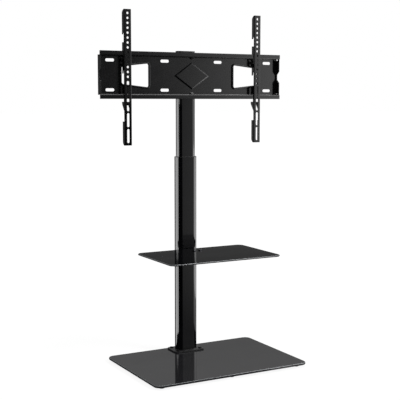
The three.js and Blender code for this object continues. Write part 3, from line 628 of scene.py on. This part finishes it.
# Black chrome plating on a turned cap: a deep smoky mirror with a trace of polishing marks
blackChrome = makeFinish(
    "blackChromePlating", {"Metallic": 1}, ("#2c2c30", "#3a3a3e"), (0.05, 0.13),
    {"Scale": 1 / (6 * mm), "Detail": 2},
)

# Injection moulded ABS from a spark-eroded mould: black, with an even, fine leathery grain of about
# 0.3 mm, drawn at 1 mm so that it shows
mouldedPlastic = makeFinish(
    "mouldedAbs", {"IOR": 1.53}, ("#0f0f10", "#171718"), (0.36, 0.5), {"Scale": 1 / (18 * mm), "Detail": 3},
    ("TexVoronoi", "Distance", {"Scale": 1 / (1 * mm), "Randomness": 1}), (0.5, 0.03 * mm),
)

# Moulded EPDM rubber: dull black with a grey bloom, dusty in patches
footRubber = makeFinish(
    "mouldedRubber", {"IOR": 1.52, "Specular IOR Level": 0.3}, ("#0d0d0d", "#1d1c1b"), (0.66, 0.88),
    {"Scale": 1 / (7 * mm), "Detail": 5, "Roughness": 0.65},
    ("TexNoise", 0, {"Scale": 1 / (0.9 * mm), "Detail": 2}), (0.5, 0.05 * mm),
)

finishes = {
    "black_glass": shelfGlass,
    "column_paint": columnPaint,
    "powder_coat": powderCoat,
    "black_zinc": blackZinc,
    "black_chrome": blackChrome,
    "black_plastic": mouldedPlastic,
    "foot_rubber": footRubber,
}
for name, node in nodes.items():
    node.data.materials.clear()
    node.data.materials.append(finishes[slotOf[name]])
print("finishes done")


# Glass foot plate and shelf: rounded corners, the upper rim ground flat and grey, the lower one left in the
# dark glass finish
glassSet = toMetres({"corner": 24, "arris": 1.5, "boltHole": 4.3, "screwHole": 3})
glassCornerSteps = 24


def makeGlass(name, node, paint, bolts, holeRadius):
    panel = addBlock(name, *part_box(node))
    bevelEdges(panel, along("z"), glassSet["corner"], glassCornerSteps)
    bevelRims(panel, facing("z", 1, -1), glassSet["arris"], steps=1)
    drill(panel, node, bolts, holeRadius)
    smooth(panel)
    fit(panel, node, paint, groundEdge)
    for face in panel.data.polygons:
        isGround = 0.1 < face.normal.z < 0.9      # the slope of the upper rim
        face.material_index = int(isGround)


flangeBolts = middlesOf("flange_bolt", 1, 2, 3, 4)
shelfScrews = middlesOf("shelf_screw", "left", "right")
makeGlass("footPlateGlass", "base_glass", footGlassPaintedLighter, flangeBolts, glassSet["boltHole"])
makeGlass("shelfPlateGlass", "shelf_glass", shelfGlass, shelfScrews, glassSet["screwHole"])
print("glass done")


# Rubber feet: moulded, with a dished sole
footSet = toMetres({"chamfer": 0.8, "shoulder": 0.5, "soleRim": 3.5, "dish": 0.9})


def makeFoot(name, node):
    low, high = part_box(node)
    middle = (low + high) / 2
    foot = addRod(name, middle, "z", (high.x - low.x) / 2, high.z - low.z)
    bevelRims(foot, facing("z", -1), footSet["chamfer"], steps=4)
    bevelRims(foot, facing("z", 1), footSet["shoulder"], steps=2)
    pick(foot, "FACE", facing("z", -1))
    bpy.ops.mesh.inset(thickness=footSet["soleRim"])
    bpy.ops.mesh.inset(thickness=footSet["dish"], depth=-footSet["dish"])
    leaveEditing()
    smooth(foot)
    return foot


otherFeet = {f"foot{number}": f"foot_{number}" for number in (2, 3, 4, 6)}
fitAll(makeFoot("foot1", "foot_1"), "foot_1", footRubber, otherFeet)
fit(makeFoot("foot5", "foot_5"), "foot_5", footRubber)
print("feet done")


# Steel plates that clamp the foot plate: the column's flange above and the backing plate below
clampPlateSet = toMetres({"corner": 12, "boltHole": 4.3, "ease": 0.7})


def makeClampPlate(name, node, paint):
    plate = addBlock(name, *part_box(node))
    bevelEdges(plate, along("z"), clampPlateSet["corner"], steps=10)
    drill(plate, node, flangeBolts, clampPlateSet["boltHole"])
    fit(soften(plate, clampPlateSet["ease"]), node, paint)


makeClampPlate("columnFlange", "column_flange", flangeCoat)
makeClampPlate("backingPlate", "base_backing_plate", blackZinc)
print("flange and backing plate done")


# Oval tubes of the column, with cable ports and bolt holes
tubeSet = toMetres({
    "lowerWall": 2.5, "upperWall": 2, "ease": 0.5,
    "portWidth": 26, "portHeight": 64,
    "heightHole": 4.3, "heightPitch": 50, "yokeHole": 3.3,
})
tubeSides = 96
heightHoles = 7
heightHolesAbove = 3      # of them above the upper height bolt


def ovalOf(node):
    # centre, radius and spread of an oval that fills the node's box
    low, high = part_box(node)
    radius = (high.y - low.y) / 2
    return (low + high) / 2, radius, (high.x - low.x) / 2 - radius


def addUpright(name, place, bottom, top, radius, spread):
    centre = (place.x, place.y, (bottom + top) / 2)
    return addOval(name, centre, "z", radius, top - bottom, (spread, 0, 0), tubeSides)


def makeTube(name, node, wall, opening, holeHeights, frontHoles=()):
    low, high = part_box(node)
    middle, radius, spread = ovalOf(node)
    tube = addUpright(name, middle, low.z, high.z, radius, spread)
    openFaces(tube, facing("z", 1, -1))
    thicken(tube, wall)
    length = 2 * (tubeSet["ease"] + tubeSet["lowerWall"] + 2 * overrun)
    portHeight = sum(corner[2] for corner in openings[opening]) / 2
    portRadius = tubeSet["portWidth"] / 2
    portSpread = (0, 0, tubeSet["portHeight"] / 2 - portRadius)
    cutters = [addOval("port", (middle.x, high.y, portHeight), "y", portRadius, length, portSpread)]
    backHoles = [(middle.x, high.y, height) for height in holeHeights]
    cutters += addHoles(backHoles, "y", tubeSet["heightHole"], length)
    cutters += addHoles([(x, low.y, z) for x, z in frontHoles], "y", tubeSet["yokeHole"], length)
    cutAway(tube, cutters)
    fit(soften(tube, tubeSet["ease"]), node, columnPaint)


heightBolts = middlesOf("height_bolt", "upper", "lower")
firstHeight = heightBolts[0].z + heightHolesAbove * tubeSet["heightPitch"]
indexHeights = [firstHeight - step * tubeSet["heightPitch"] for step in range(heightHoles)]
yokeBolts = middlesOf("yoke_bolt", 1, 2, 3, 4)
makeTube(
    "lowerTube", "lower_tube", tubeSet["lowerWall"], "lower_cable_port", [bolt.z for bolt in heightBolts],
)
makeTube(
    "upperTube", "upper_tube", tubeSet["upperWall"], "upper_cable_port", indexHeights,
    [(bolt.x, bolt.z) for bolt in yokeBolts],
)
print("tubes done")


# Plastic guide collar between the tubes, and the cap that closes the column
collarSet = toMetres({"rim": 1.5, "ease": 0.35})
capSet = toMetres({"lid": 3, "edge": 0.8, "plugInset": 2.3})


def makeCollar():
    low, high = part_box("guide_collar")
    middle, radius, spread = ovalOf("guide_collar")
    passage, passageRadius, passageSpread = ovalOf("upper_tube")
    inset = tubeSet["lowerWall"] + clearance
    collar = addUpright("guideCollar", middle, high.z - collarSet["rim"], high.z, radius, spread)
    sleeveTop = high.z - collarSet["rim"] / 2
    joinOn(collar, [addUpright("sleeve", middle, low.z, sleeveTop, radius - inset, spread)])
    bottom = low.z - overrun
    top = high.z + overrun
    cutAway(collar, [addUpright("hollow", passage, bottom, top, passageRadius + clearance, passageSpread)])
    fit(soften(collar, collarSet["ease"]), "guide_collar", mouldedPlastic)


def makeTopCap():
    low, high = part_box("top_cap")
    middle, radius, spread = ovalOf("top_cap")
    cap = addUpright("topCap", middle, high.z - capSet["lid"], high.z, radius, spread)
    bevelRims(cap, facing("z", 1, -1), capSet["edge"], steps=3)
    pick(cap, "FACE", facing("z", -1))
    bpy.ops.mesh.inset(thickness=capSet["plugInset"])
    drop = low.z - high.z + capSet["lid"]
    bpy.ops.mesh.extrude_region_move(TRANSFORM_OT_translate={"value": (0, 0, drop)})
    leaveEditing()
    smooth(cap)
    fit(cap, "top_cap", mouldedPlastic)


makeCollar()
makeTopCap()
print("collar and cap done")


# Pressed mount plate: a hat section with flanged windows, a diamond boss and gussets in its bends
plateSet = toMetres({
    "sheet": 2, "lip": 14, "bend": 3, "innerBend": 1, "ease": 0.4,
    "overhang": 2,            # lips and flanges reach past the web at each end
    "tabReach": 1,            # how far the end tabs run into the flanges
    "notchOuter": 41, "notchInner": 16.5, "notchDepth": 14,
    "reliefWidth": 8.5, "reliefHeight": 4,
    "slotLength": 33, "slotWidth": 10.5, "slotRise": 51, "slotInner": 108, "slotOuter": 318.5,
    "windowNear": 172.5, "windowFar": 276, "windowNearHalf": 41.3, "windowFarHalf": 30, "windowCorner": 6.5,
    "collarWidth": 6.2,       # the rolled rim round each window
    "collarHeight": 5.5, "collarFoot": 0.8, "collarCrest": 2.4, "collarMouth": 1.2,
    "bossWidth": 67, "bossHeight": 45.5, "bossRise": 4, "bossSlope": 5, "bossCrest": 2.6,
    "gussetHalf": 7.5, "gussetReach": 9, "gussetDepth": 13, "gussetRound": 3,
})


def addDiamond(name, middle, topY, rootY, topHalf, rootHalf):
    # a four-sided cone with its point cut off, its small face towards the front
    clearSelection()
    bpy.ops.mesh.primitive_cone_add(
        vertices=4, radius1=rootHalf, radius2=topHalf, depth=rootY - topY,
        location=(middle[0], (topY + rootY) / 2, middle[1]), rotation=(math.pi / 2, 0, 0),
    )
    piece = settle(name)
    share = plateSet["bossHeight"] / plateSet["bossWidth"]
    for corner in piece.data.vertices:
        corner.co.z = middle[1] + (corner.co.z - middle[1]) * share
    return piece


def addGusset(rootY, flangeZ, side):
    # a rounded wedge in the bend between web and flange
    half = plateSet["gussetHalf"]
    tip = flangeZ - side * plateSet["gussetReach"]
    corners = [(rootY, flangeZ), (rootY, tip), (rootY - plateSet["gussetDepth"], flangeZ)]
    gusset = addPrism("gusset", corners, "x", -half, half)

    def isRidge(edge):
        gaps = [abs(corner.co.y - rootY) + abs(corner.co.z - flangeZ) for corner in edge.verts]
        return not runsAlong(edge, "x") and min(gaps) > mm

    bevelEdges(gusset, isRidge, plateSet["gussetRound"], steps=4)
    return gusset


def addWindow(name, side, margin, start, end, middleZ):
    near = side * (plateSet["windowNear"] - margin)
    far = side * (plateSet["windowFar"] + margin)
    nearHalf = plateSet["windowNearHalf"] + margin
    farHalf = plateSet["windowFarHalf"] + margin
    corners = [(near, -nearHalf), (far, -farHalf), (far, farHalf), (near, nearHalf)]
    corners = [(x, middleZ + z) for x, z in corners]
    window = addPrism(name, corners, "y", start, end)
    roundEdges(window, "y", corners, plateSet["windowCorner"] + margin, steps=8)
    return window


def addCollar(side, start, end, middleZ):
    collar = addWindow("windowCollar", side, plateSet["collarWidth"], start, end, middleZ)
    bevelRims(collar, facing("y", -1), plateSet["collarCrest"], steps=4)
    return collar


def makeMountPlate():
    low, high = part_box("wall_plate")
    sheet = plateSet["sheet"]
    middle = (low.z + high.z) / 2
    half = high.z - middle - plateSet["lip"]
    inner = half - sheet
    front = low.y
    lipBack = front + sheet
    back = high.y
    web = back - sheet
    lipHalf = half + plateSet["lip"]
    hat = [
        (back, -half), (back, half), (lipBack, half), (lipBack, lipHalf), (front, lipHalf), (front, inner),
        (web, inner), (web, -inner), (front, -inner), (front, -lipHalf), (lipBack, -lipHalf),
        (lipBack, -half),
    ]
    hat = [(y, middle + z) for y, z in hat]
    plate = addPrism("mountPlate", hat, "x", low.x, high.x)
    roundEdges(plate, "x", [hat[0], hat[1], hat[5], hat[8]], plateSet["bend"], steps=5)
    roundEdges(plate, "x", [hat[2], hat[6], hat[7], hat[11]], plateSet["innerBend"], steps=4)

    endX = high.x - plateSet["overhang"]
    tabHalf = inner + plateSet["tabReach"]
    notchOuter = plateSet["notchOuter"] / 2
    notchInner = plateSet["notchInner"] / 2
    notchBack = front + plateSet["notchDepth"]
    tab = [
        (web + sheet / 2, -tabHalf), (web + sheet / 2, tabHalf), (front, tabHalf), (front, notchOuter),
        (notchBack, notchInner), (notchBack, -notchInner), (front, -notchOuter), (front, -tabHalf),
    ]
    tab = [(y, middle + z) for y, z in tab]
    additions = []
    for start in (-endX, endX - sheet):
        endTab = addPrism("endTab", tab, "x", start, start + sheet)
        roundEdges(endTab, "x", tab[3:7], plateSet["innerBend"] * 2, steps=4)
        additions.append(endTab)
    width = plateSet["bossWidth"]
    rootWidth = width + plateSet["bossSlope"]
    rise = plateSet["bossRise"]
    boss = addDiamond("boss", (0, middle), web - rise, web + sheet / 2, width, rootWidth)
    bevelRims(boss, facing("y", -1), plateSet["bossCrest"], steps=4)
    additions.append(boss)
    for side in (-1, 1):
        additions.append(addGusset(web + sheet / 2, middle + side * (half - sheet / 2), side))
        additions.append(addCollar(side, web - plateSet["collarHeight"], back - sheet / 2, middle))
    joinOn(plate, additions)

    def roundCollars(height, radius):
        # rounds the edges of both collars that lie at a height in front of the web
        margin = plateSet["collarWidth"] + sheet

        def isCollar(corner):
            x, y, z = corner.co
            inside = plateSet["windowNear"] - margin < abs(x) < plateSet["windowFar"] + margin
            return inside and abs(y - web + height) < weldGap and abs(z - middle) < inner - sheet

        def isRim(edge):
            onCollar = all(isCollar(corner) for corner in edge.verts)
            return onCollar and edge.calc_face_angle() > math.radians(sharpAngle)

        bevelEdges(plate, isRim, radius, steps=4)

    roundCollars(0, plateSet["collarFoot"])
    start = web - plateSet["collarHeight"] - overrun
    end = back + overrun
    cutters = [addWindow("window", side, 0, start, end, middle) for side in (-1, 1)]
    radius = plateSet["slotWidth"] / 2
    spread = (plateSet["slotLength"] / 2 - radius, 0, 0)
    slotXs = [side * plateSet[place] for place in ("slotOuter", "slotInner") for side in (-1, 1)]
    for x in slotXs:
        for z in (middle - plateSet["slotRise"], middle + plateSet["slotRise"]):
            centre = (x, (start + end) / 2, z)
            cutters.append(addOval("slot", centre, "y", radius, end - start, spread, sides=32))
    hollow = (0, middle), web - rise + sheet, back + sheet / 2, width - sheet, rootWidth - sheet
    cutters.append(addDiamond("bossHollow", *hollow))
    for side in (-1, 1):
        x1, x2 = sorted((side * endX, side * (high.x + overrun)))
        cutters.append(addBlock("webEnd", (x1, web - overrun, middle - half), (x2, end, middle + half)))
    cutAway(plate, cutters)
    roundCollars(plateSet["collarHeight"], plateSet["collarMouth"])
    reliefs = []
    reliefBack = web - plateSet["bend"]
    reliefFront = reliefBack - plateSet["reliefWidth"]
    for side in (-1, 1):
        x1, x2 = sorted((side * (endX - sheet - overrun), side * (high.x + overrun)))
        for turn in (-1, 1):
            z1, z2 = sorted((middle + turn * (inner - plateSet["reliefHeight"]), middle + turn * inner))
            reliefs.append(addBlock("relief", (x1, reliefFront, z1), (x2, reliefBack, z2)))
    cutAway(plate, reliefs)
    fit(soften(plate, plateSet["ease"]), "wall_plate", powderCoat)


makeMountPlate()
print("mount plate done")


# Arms: bent channels with hooks that hang on the plate's lips, round holes and long slots
armSet = toMetres({
    "sheet": 2, "bend": 2.5, "ease": 0.35,
    "holePitch": 16.67, "holeTop": 13.4, "holeRadius": 4,
    "slotPitch": 55, "slotLength": 48.5, "slotWidth": 8.8,
    "slotFirst": 45,          # centre of the first slot below the plate's centre
    "hookPitch": 64, "hookOpening": 27, "hookPocket": 8, "hookMouth": 3, "hookFlare": 4,
    "thirdOpening": 38, "thirdPocket": 13.5,
    "notchBottom": 160,       # below the plate's centre
    "notchMargin": 5, "notchRound": 1,
    "topCut": 9.5, "topCutDepth": 12.5, "footCut": 9.5, "footCutDepth": 8.5, "cutRound": 4,
})
armHoles = 14
armSlots = 4
plateLow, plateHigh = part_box("wall_plate")
plateCentre = (plateLow.z + plateHigh.z) / 2


def makeChannel(name, low, high, settings, steps):
    # a bent strip of sheet: open at the back and at both ends
    channel = addBlock(name, low, high)
    ends = facing("z", 1, -1)
    openFaces(channel, lambda face: ends(face) or face.normal.y > sameWay)
    middle = (low.y + high.y) / 2

    def isBend(edge):
        return runsAlong(edge, "z") and edge.verts[0].co.y < middle

    bevelEdges(channel, isBend, settings["bend"], steps)
    thicken(channel, settings["sheet"])
    return channel


def armSide(low, high):
    # the side of an arm in (y, z), hooks and notch included, and the corners that are rounded
    seat = plateLow.y - clearance
    firstHook = plateHigh.z + clearance
    front = low.y - overrun
    hooks = [
        (firstHook - armSet["hookPitch"], armSet["thirdOpening"], armSet["thirdPocket"]),
        (firstHook, armSet["hookOpening"], armSet["hookPocket"]),
        (firstHook + armSet["hookPitch"], armSet["hookOpening"], armSet["hookPocket"]),
    ]
    foot = [(high.y - armSet["footCutDepth"], low.z), (high.y, low.z + armSet["footCut"])]
    head = [(high.y, high.z - armSet["topCut"]), (high.y - armSet["topCutDepth"], high.z)]
    notchTop = plateLow.z + plateSet["lip"] + armSet["notchMargin"]
    notch = [(seat, plateCentre - armSet["notchBottom"]), (seat, notchTop)]
    corners = [(front, low.z), *foot, (high.y, notch[0][1]), *notch, (high.y, notchTop)]
    inner = list(notch)
    for top, opening, pocket in hooks:
        mouth = seat + armSet["hookMouth"]
        corners += [
            (high.y, top - pocket - opening), (seat, top - pocket - opening), (seat, top), (mouth, top),
            (mouth + armSet["hookFlare"], top - pocket), (high.y, top - pocket),
        ]
        inner.append((seat, top - pocket - opening))
    return corners + [*head, (front, high.z)], foot + head, inner


def makeArm(name, node):
    low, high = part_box(node)
    arm = makeChannel(name, low, high, armSet, steps=5)
    corners, outer, inner = armSide(low, high)
    side = addPrism("side", corners, "x", low.x - overrun, high.x + overrun)
    roundEdges(side, "x", outer, armSet["cutRound"], steps=5)
    roundEdges(side, "x", inner, armSet["notchRound"], steps=3)
    combine(arm, [side], "INTERSECT")
    x = (low.x + high.x) / 2
    length = 2 * armSet["sheet"] + 2 * overrun
    heights = [high.z - armSet["holeTop"] - step * armSet["holePitch"] for step in range(armHoles)]
    cutters = addHoles([(x, low.y, height) for height in heights], "y", armSet["holeRadius"], length)
    radius = armSet["slotWidth"] / 2
    spread = (0, 0, armSet["slotLength"] / 2 - radius)
    for step in range(armSlots):
        height = plateCentre - armSet["slotFirst"] - step * armSet["slotPitch"]
        cutters.append(addOval("slot", (x, low.y, height), "y", radius, length, spread, sides=32))
    cutAway(arm, cutters)
    return soften(arm, armSet["ease"])


fitAll(makeArm("leftArm", "arm_left"), "arm_left", powderCoat, {"rightArm": "arm_right"})
print("arms done")


# Lock tabs inside the arms, with fingers that rise behind the plate's lower lip
lockSet = toMetres({
    "sheet": 1.5, "bend": 1.8, "backHeight": 8, "toe": 2.5, "round": 1, "ease": 0.25,
    "fingerHeight": 20, "fingerWidth": 5,
    "slitWidth": 9.6,         # opens the tab's web below the screw
    "slitDrop": 6.5, "screwHole": 2.8,
})


def makeLock(name, node, screwNode):
    low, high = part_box(node)
    lock = makeChannel(name, low, high, lockSet, steps=4)
    top = high.z - lockSet["fingerHeight"]
    finger = plateLow.y + plateSet["sheet"] + clearance
    fingerBack = finger + lockSet["fingerWidth"]
    front = low.y - overrun
    corners = [
        (front, low.z), (plateLow.y + lockSet["toe"], low.z), (high.y, top - lockSet["backHeight"]),
        (high.y, top), (fingerBack, top), (fingerBack, high.z), (finger, high.z), (finger, top), (front, top),
    ]
    side = addPrism("side", corners, "x", low.x - overrun, high.x + overrun)
    roundEdges(side, "x", [corners[2]], lockSet["backHeight"] / 2, steps=6)
    roundEdges(side, "x", corners[1:2] + corners[3:7], lockSet["round"], steps=4)
    combine(lock, [side], "INTERSECT")
    screw = middleOf(screwNode)
    length = 2 * lockSet["sheet"] + 2 * overrun
    slit = lockSet["slitWidth"] / 2
    slitLow = screw.x - slit, front, low.z - overrun
    slitHigh = screw.x + slit, low.y + length / 2, screw.z - lockSet["slitDrop"]
    cutters = addHoles([(screw.x, low.y, screw.z)], "y", lockSet["screwHole"], length)
    cutAway(lock, cutters + [addBlock("slit", slitLow, slitHigh)])
    return soften(lock, lockSet["ease"])


leftLock = makeLock("leftLock", "lock_left", "lock_screw_left")
fitAll(leftLock, "lock_left", powderCoat, {"rightLock": "lock_right"})
print("locks done")


# Swivel: a yoke on the column and a knuckle on the back of the plate, turning on one pin
swivelSet = toMetres({
    "sheet": 3, "plateCorner": 3, "ease": 0.5,
    "ear": 4, "earRadius": 11.5, "knuckleEar": 52,
    "pinHole": 5.3, "boltHole": 3.3,
})


def addEar(name, bottom, top, rootHalf, rootY, pin):
    radius = swivelSet["earRadius"]
    corners = [(-radius, pin.y), (radius, pin.y), (rootHalf, rootY), (-rootHalf, rootY)]
    ear = addPrism(name, [(pin.x + x, y) for x, y in corners], "z", bottom, top)
    middle = (pin.x, pin.y, (bottom + top) / 2)
    return joinOn(ear, [addRod("end", middle, "z", radius, top - bottom, sides=64)])


def makeSwivelHalf(name, node, plateFront, earHalf, rootHalf, boltSpots):
    low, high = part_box(node)
    pin = middleOf("pivot_pin")
    plateBack = plateFront + swivelSet["sheet"]
    half = addBlock(name, (low.x, plateFront, low.z), (high.x, plateBack, high.z))
    bevelEdges(half, along("y"), swivelSet["plateCorner"], steps=5)
    rootY = (plateFront + plateBack) / 2
    for bottom in (-earHalf, earHalf - swivelSet["ear"]):
        start = plateCentre + bottom
        joinOn(half, [addEar("ear", start, start + swivelSet["ear"], rootHalf, rootY, pin)])
    bore = addRod("bore", (pin.x, pin.y, plateCentre), "z", swivelSet["pinHole"], 2 * earHalf + 2 * overrun)
    length = 2 * swivelSet["sheet"] + 2 * overrun
    spots = [(bolt.x, plateFront, bolt.z) for bolt in boltSpots]
    cutAway(half, [bore, *addHoles(spots, "y", swivelSet["boltHole"], length)])
    fit(soften(half, swivelSet["ease"]), node, powderCoat)


yokeLow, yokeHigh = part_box("swivel_yoke")
washerLow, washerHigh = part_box("pivot_washer_top")
yokeEarTop = washerHigh.z + clearance + swivelSet["ear"] - plateCentre
knuckleEarTop = washerLow.z - clearance - plateCentre
yokeFront = yokeHigh.y - swivelSet["sheet"]
yokeHalf = (yokeHigh.x - yokeLow.x) / 2
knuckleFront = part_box("swivel_knuckle")[0].y
knuckleHalf = swivelSet["knuckleEar"] / 2
makeSwivelHalf("swivelYoke", "swivel_yoke", yokeFront, yokeEarTop, yokeHalf, yokeBolts)
makeSwivelHalf("swivelKnuckle", "swivel_knuckle", knuckleFront, knuckleEarTop, knuckleHalf, [])
print("swivel done")


# Shelf carrier and the strap that clamps it to the column
carrierSet = toMetres({
    "sheet": 3, "corner": 14, "trayHalf": 40, "ease": 0.5,
    "ribSpacing": 52, "ribReach": 73.6, "ribDrop": 46,
    "screwHole": 3, "clampHole": 3.3,
})
clampBolts = middlesOf("clamp_bolt", "left", "right")


def makeCarrier():
    low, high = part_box("shelf_bracket")
    sheet = carrierSet["sheet"]
    half = carrierSet["trayHalf"]
    flangeFront = high.y - sheet
    under = high.z - sheet
    trayCorners = [(-half, low.y), (half, low.y), (half, high.y), (-half, high.y)]
    carrier = addPrism("shelfCarrier", trayCorners, "z", under, high.z)
    roundEdges(carrier, "z", trayCorners[:2], carrierSet["corner"], steps=10)
    flangeCorners = [
        (low.x, low.z), (high.x, low.z), (high.x, under), (half, under), (half, high.z),
        (-half, high.z), (-half, under), (low.x, under),
    ]
    flange = addPrism("flange", flangeCorners, "y", flangeFront, high.y)
    roundEdges(flange, "y", flangeCorners[:2], carrierSet["corner"], steps=10)
    roundEdges(flange, "y", [flangeCorners[2], flangeCorners[7]], sheet, steps=5)
    joinOn(carrier, [flange])
    ribFront = flangeFront - carrierSet["ribReach"]
    ribBack = flangeFront + sheet / 2
    ribTop = high.z - sheet / 2
    ribBottom = high.z - carrierSet["ribDrop"]
    ribCorners = [
        (ribBack, ribTop), (ribFront, ribTop), (ribFront, high.z - 2 * sheet), (flangeFront, ribBottom),
        (ribBack, ribBottom),
    ]
    for x in (-carrierSet["ribSpacing"] / 2, carrierSet["ribSpacing"] / 2):
        joinOn(carrier, [addPrism("rib", ribCorners, "x", x - sheet / 2, x + sheet / 2)])
    length = 2 * sheet + 2 * overrun
    screws = [(screw.x, screw.y, high.z) for screw in shelfScrews]
    bolts = [(bolt.x, high.y, bolt.z) for bolt in clampBolts]
    cutters = addHoles(screws, "z", carrierSet["screwHole"], length)
    cutAway(carrier, cutters + addHoles(bolts, "y", carrierSet["clampHole"], length))
    fit(soften(carrier, carrierSet["ease"]), "shelf_bracket", powderCoat)


def makeStrap():
    low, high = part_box("shelf_clamp")
    tube, tubeRadius, tubeSpread = ovalOf("lower_tube")
    sheet = carrierSet["sheet"]
    radius = tubeRadius + clearance
    earFront = low.y
    earEnd = high.x - overrun
    strap = addUpright("shelfStrap", tube, low.z, high.z, radius + sheet, tubeSpread)
    joinOn(strap, [addBlock("ears", (low.x, earFront, low.z), (high.x, earFront + sheet, high.z))])

    def isEarCorner(edge):
        return runsAlong(edge, "y") and abs(edge.verts[0].co.x) > earEnd

    bevelEdges(strap, isEarCorner, sheet, steps=4)
    cutAway(strap, [addUpright("hollow", tube, low.z - overrun, high.z + overrun, radius, tubeSpread)])
    edge = Vector((overrun + sheet, 0, overrun + sheet))
    frontLow = low - edge - Vector((0, 4 * sheet, 0))
    frontHigh = Vector((high.x, earFront, high.z)) + edge
    cutAway(strap, [addBlock("front", frontLow, frontHigh)])
    spots = [(bolt.x, earFront, bolt.z) for bolt in clampBolts]
    cutAway(strap, addHoles(spots, "y", carrierSet["clampHole"], 2 * sheet + 2 * overrun))
    fit(soften(strap, carrierSet["ease"]), "shelf_clamp", powderCoat)


makeCarrier()
makeStrap()
print("shelf carrier done")


# Fasteners: modelled upright with the head's seat at zero, then turned the way the head points.
# Each line: kind, radius and height of the head, radius of the shank (in mm), and that way
fastenerSet = {
    "flange_bolt_1": ("socket", 7, 3, 4, "up"),
    "height_bolt_upper": ("socket", 6.5, 5, 4, "back"),
    "shelf_screw_left": ("cap", 7, 3.2, 2.7, "up"),
    "clamp_bolt_left": ("hex", 5.6, 4, 3, "back"),
    "yoke_bolt_1": ("cross", 5, 3.5, 3, "front"),
    "pivot_pin": ("hex", 9, 5, 5, "up"),
    "lock_screw_left": ("cross", 4, 2.8, 2.5, "front"),
    "shelf_nut_left": ("nut", 5.8, 5, 2.7, "up"),
    "clamp_nut_left": ("nut", 5.8, 5, 3, "front"),
    "pivot_nut": ("nut", 9, 8, 5, "up"),
    "lock_nut_left": ("nut", 4.6, 3, 2.5, "back"),
}
otherPlaces = {"1": ["2", "3", "4"], "upper": ["lower"], "left": ["right"]}
headTurns = {"up": 0, "back": -math.pi / 2, "front": math.pi / 2}
# how much of a head's height its rim is rounded by, and the size of its drive as a share of its radius
domeShares = {"cap": 0.8, "cross": 0.5, "socket": 0.35, "hex": 0.12, "nut": 0.1}
driveReach = 1 / 2
crossWidth = 1 / 9
fastenerEase = 0.15 * mm


def camelName(node):
    first, *others = node.split("_")
    return first + "".join(word.capitalize() for word in others)


def cutDrive(head, kind, radius, height):
    # the recess that a key or a screwdriver turns
    top = height + overrun
    if kind == "socket":
        middle = (0, 0, (height / 2 + top) / 2)
        cutAway(head, [addRod("socket", middle, "z", driveReach * radius, top - height / 2, sides=6)])
    if kind == "cross":
        reach = driveReach * radius
        width = crossWidth * radius
        for x, y in ((reach, width), (width, reach)):
            cutAway(head, [addBlock("cross", (-x, -y, height / 2), (x, y, top))])


def makeFastener(node, kind, radius, height, shank, way):
    radius, height, shank = (size * mm for size in (radius, height, shank))
    sides, steps = (6, 2) if kind in ("hex", "nut") else (48, 6)
    piece = addRod(camelName(node), (0, 0, height / 2), "z", radius, height, sides)
    ends = facing("z", 1, -1) if kind == "nut" else facing("z", 1)
    bevelRims(piece, ends, domeShares[kind] * height, steps)
    low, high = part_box(node)
    span = high - low
    length = span.z if way == "up" else span.y
    if kind == "nut":
        cutAway(piece, addHoles([(0, 0, height / 2)], "z", shank + clearance, height + 2 * overrun))
    else:
        shankMiddle = 3 / 4 * height - length / 2
        joinOn(piece, [addRod("shank", (0, 0, shankMiddle), "z", shank, length - height / 2, sides=32)])
        cutDrive(piece, kind, radius, height)
    easeEdges(piece, fastenerEase, steps=1, angle=40)
    middle = (low + high) / 2
    start = {
        "up": (middle.x, middle.y, high.z - height),
        "back": (middle.x, high.y - height, middle.z),
        "front": (middle.x, low.y + height, middle.z),
    }[way]
    take(piece)
    piece.rotation_euler = (headTurns[way], 0, 0)
    piece.location = start
    settle(piece.name)
    smooth(piece, angle=35)
    return piece


for node, settings in fastenerSet.items():
    kind, place = node.rsplit("_", 1)
    others = [f"{kind}_{other}" for other in otherPlaces.get(place, [])]
    copies = {camelName(other): other for other in others}
    fitAll(makeFastener(node, *settings), node, finishes[slotOf[node]], copies)
print("fasteners done")


# Small moulded pieces: the pivot's friction washers, the shelf's pad and the shoe inside the column
washerSet = toMetres({"bore": 5.3, "ease": 0.2})
padSet = toMetres({"ease": 0.2})


def makeWasher(name, node):
    low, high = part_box(node)
    middle = (low + high) / 2
    washer = addRod(name, middle, "z", (high.x - low.x) / 2, high.z - low.z)
    cutAway(washer, [addRod("bore", middle, "z", washerSet["bore"], high.z - low.z + 2 * overrun)])
    return soften(washer, washerSet["ease"])


topWasher = makeWasher("topWasher", "pivot_washer_top")
fitAll(topWasher, "pivot_washer_top", mouldedPlastic, {"bottomWasher": "pivot_washer_bottom"})


def makeSofterCopy(name, node, paint):
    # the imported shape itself, with its corners merged and its edges eased
    piece = nodes[node].copy()
    piece.data = nodes[node].data.copy()
    piece.name = name
    piece.parent = None
    for key in [key for key in piece.keys() if key.startswith("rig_")]:
        del piece[key]
    bpy.context.scene.collection.objects.link(piece)
    fit(soften(piece, padSet["ease"]), node, paint)


makeSofterCopy("shelfPad", "shelf_pad", footRubber)
makeSofterCopy("guideShoe", "guide_shoe", mouldedPlastic)
print("small pieces done")


# A card that names pieces lights these alone
for cardName, card in cardSet.items():
    if card["lights"]:
        lit = bpy.data.collections.new(cardName + "Lights")
        for name in card["lights"]:
            lit.objects.link(bpy.data.objects[name])
        bpy.data.objects[cardName].light_linking.receiver_collection = lit
print("cards linked")
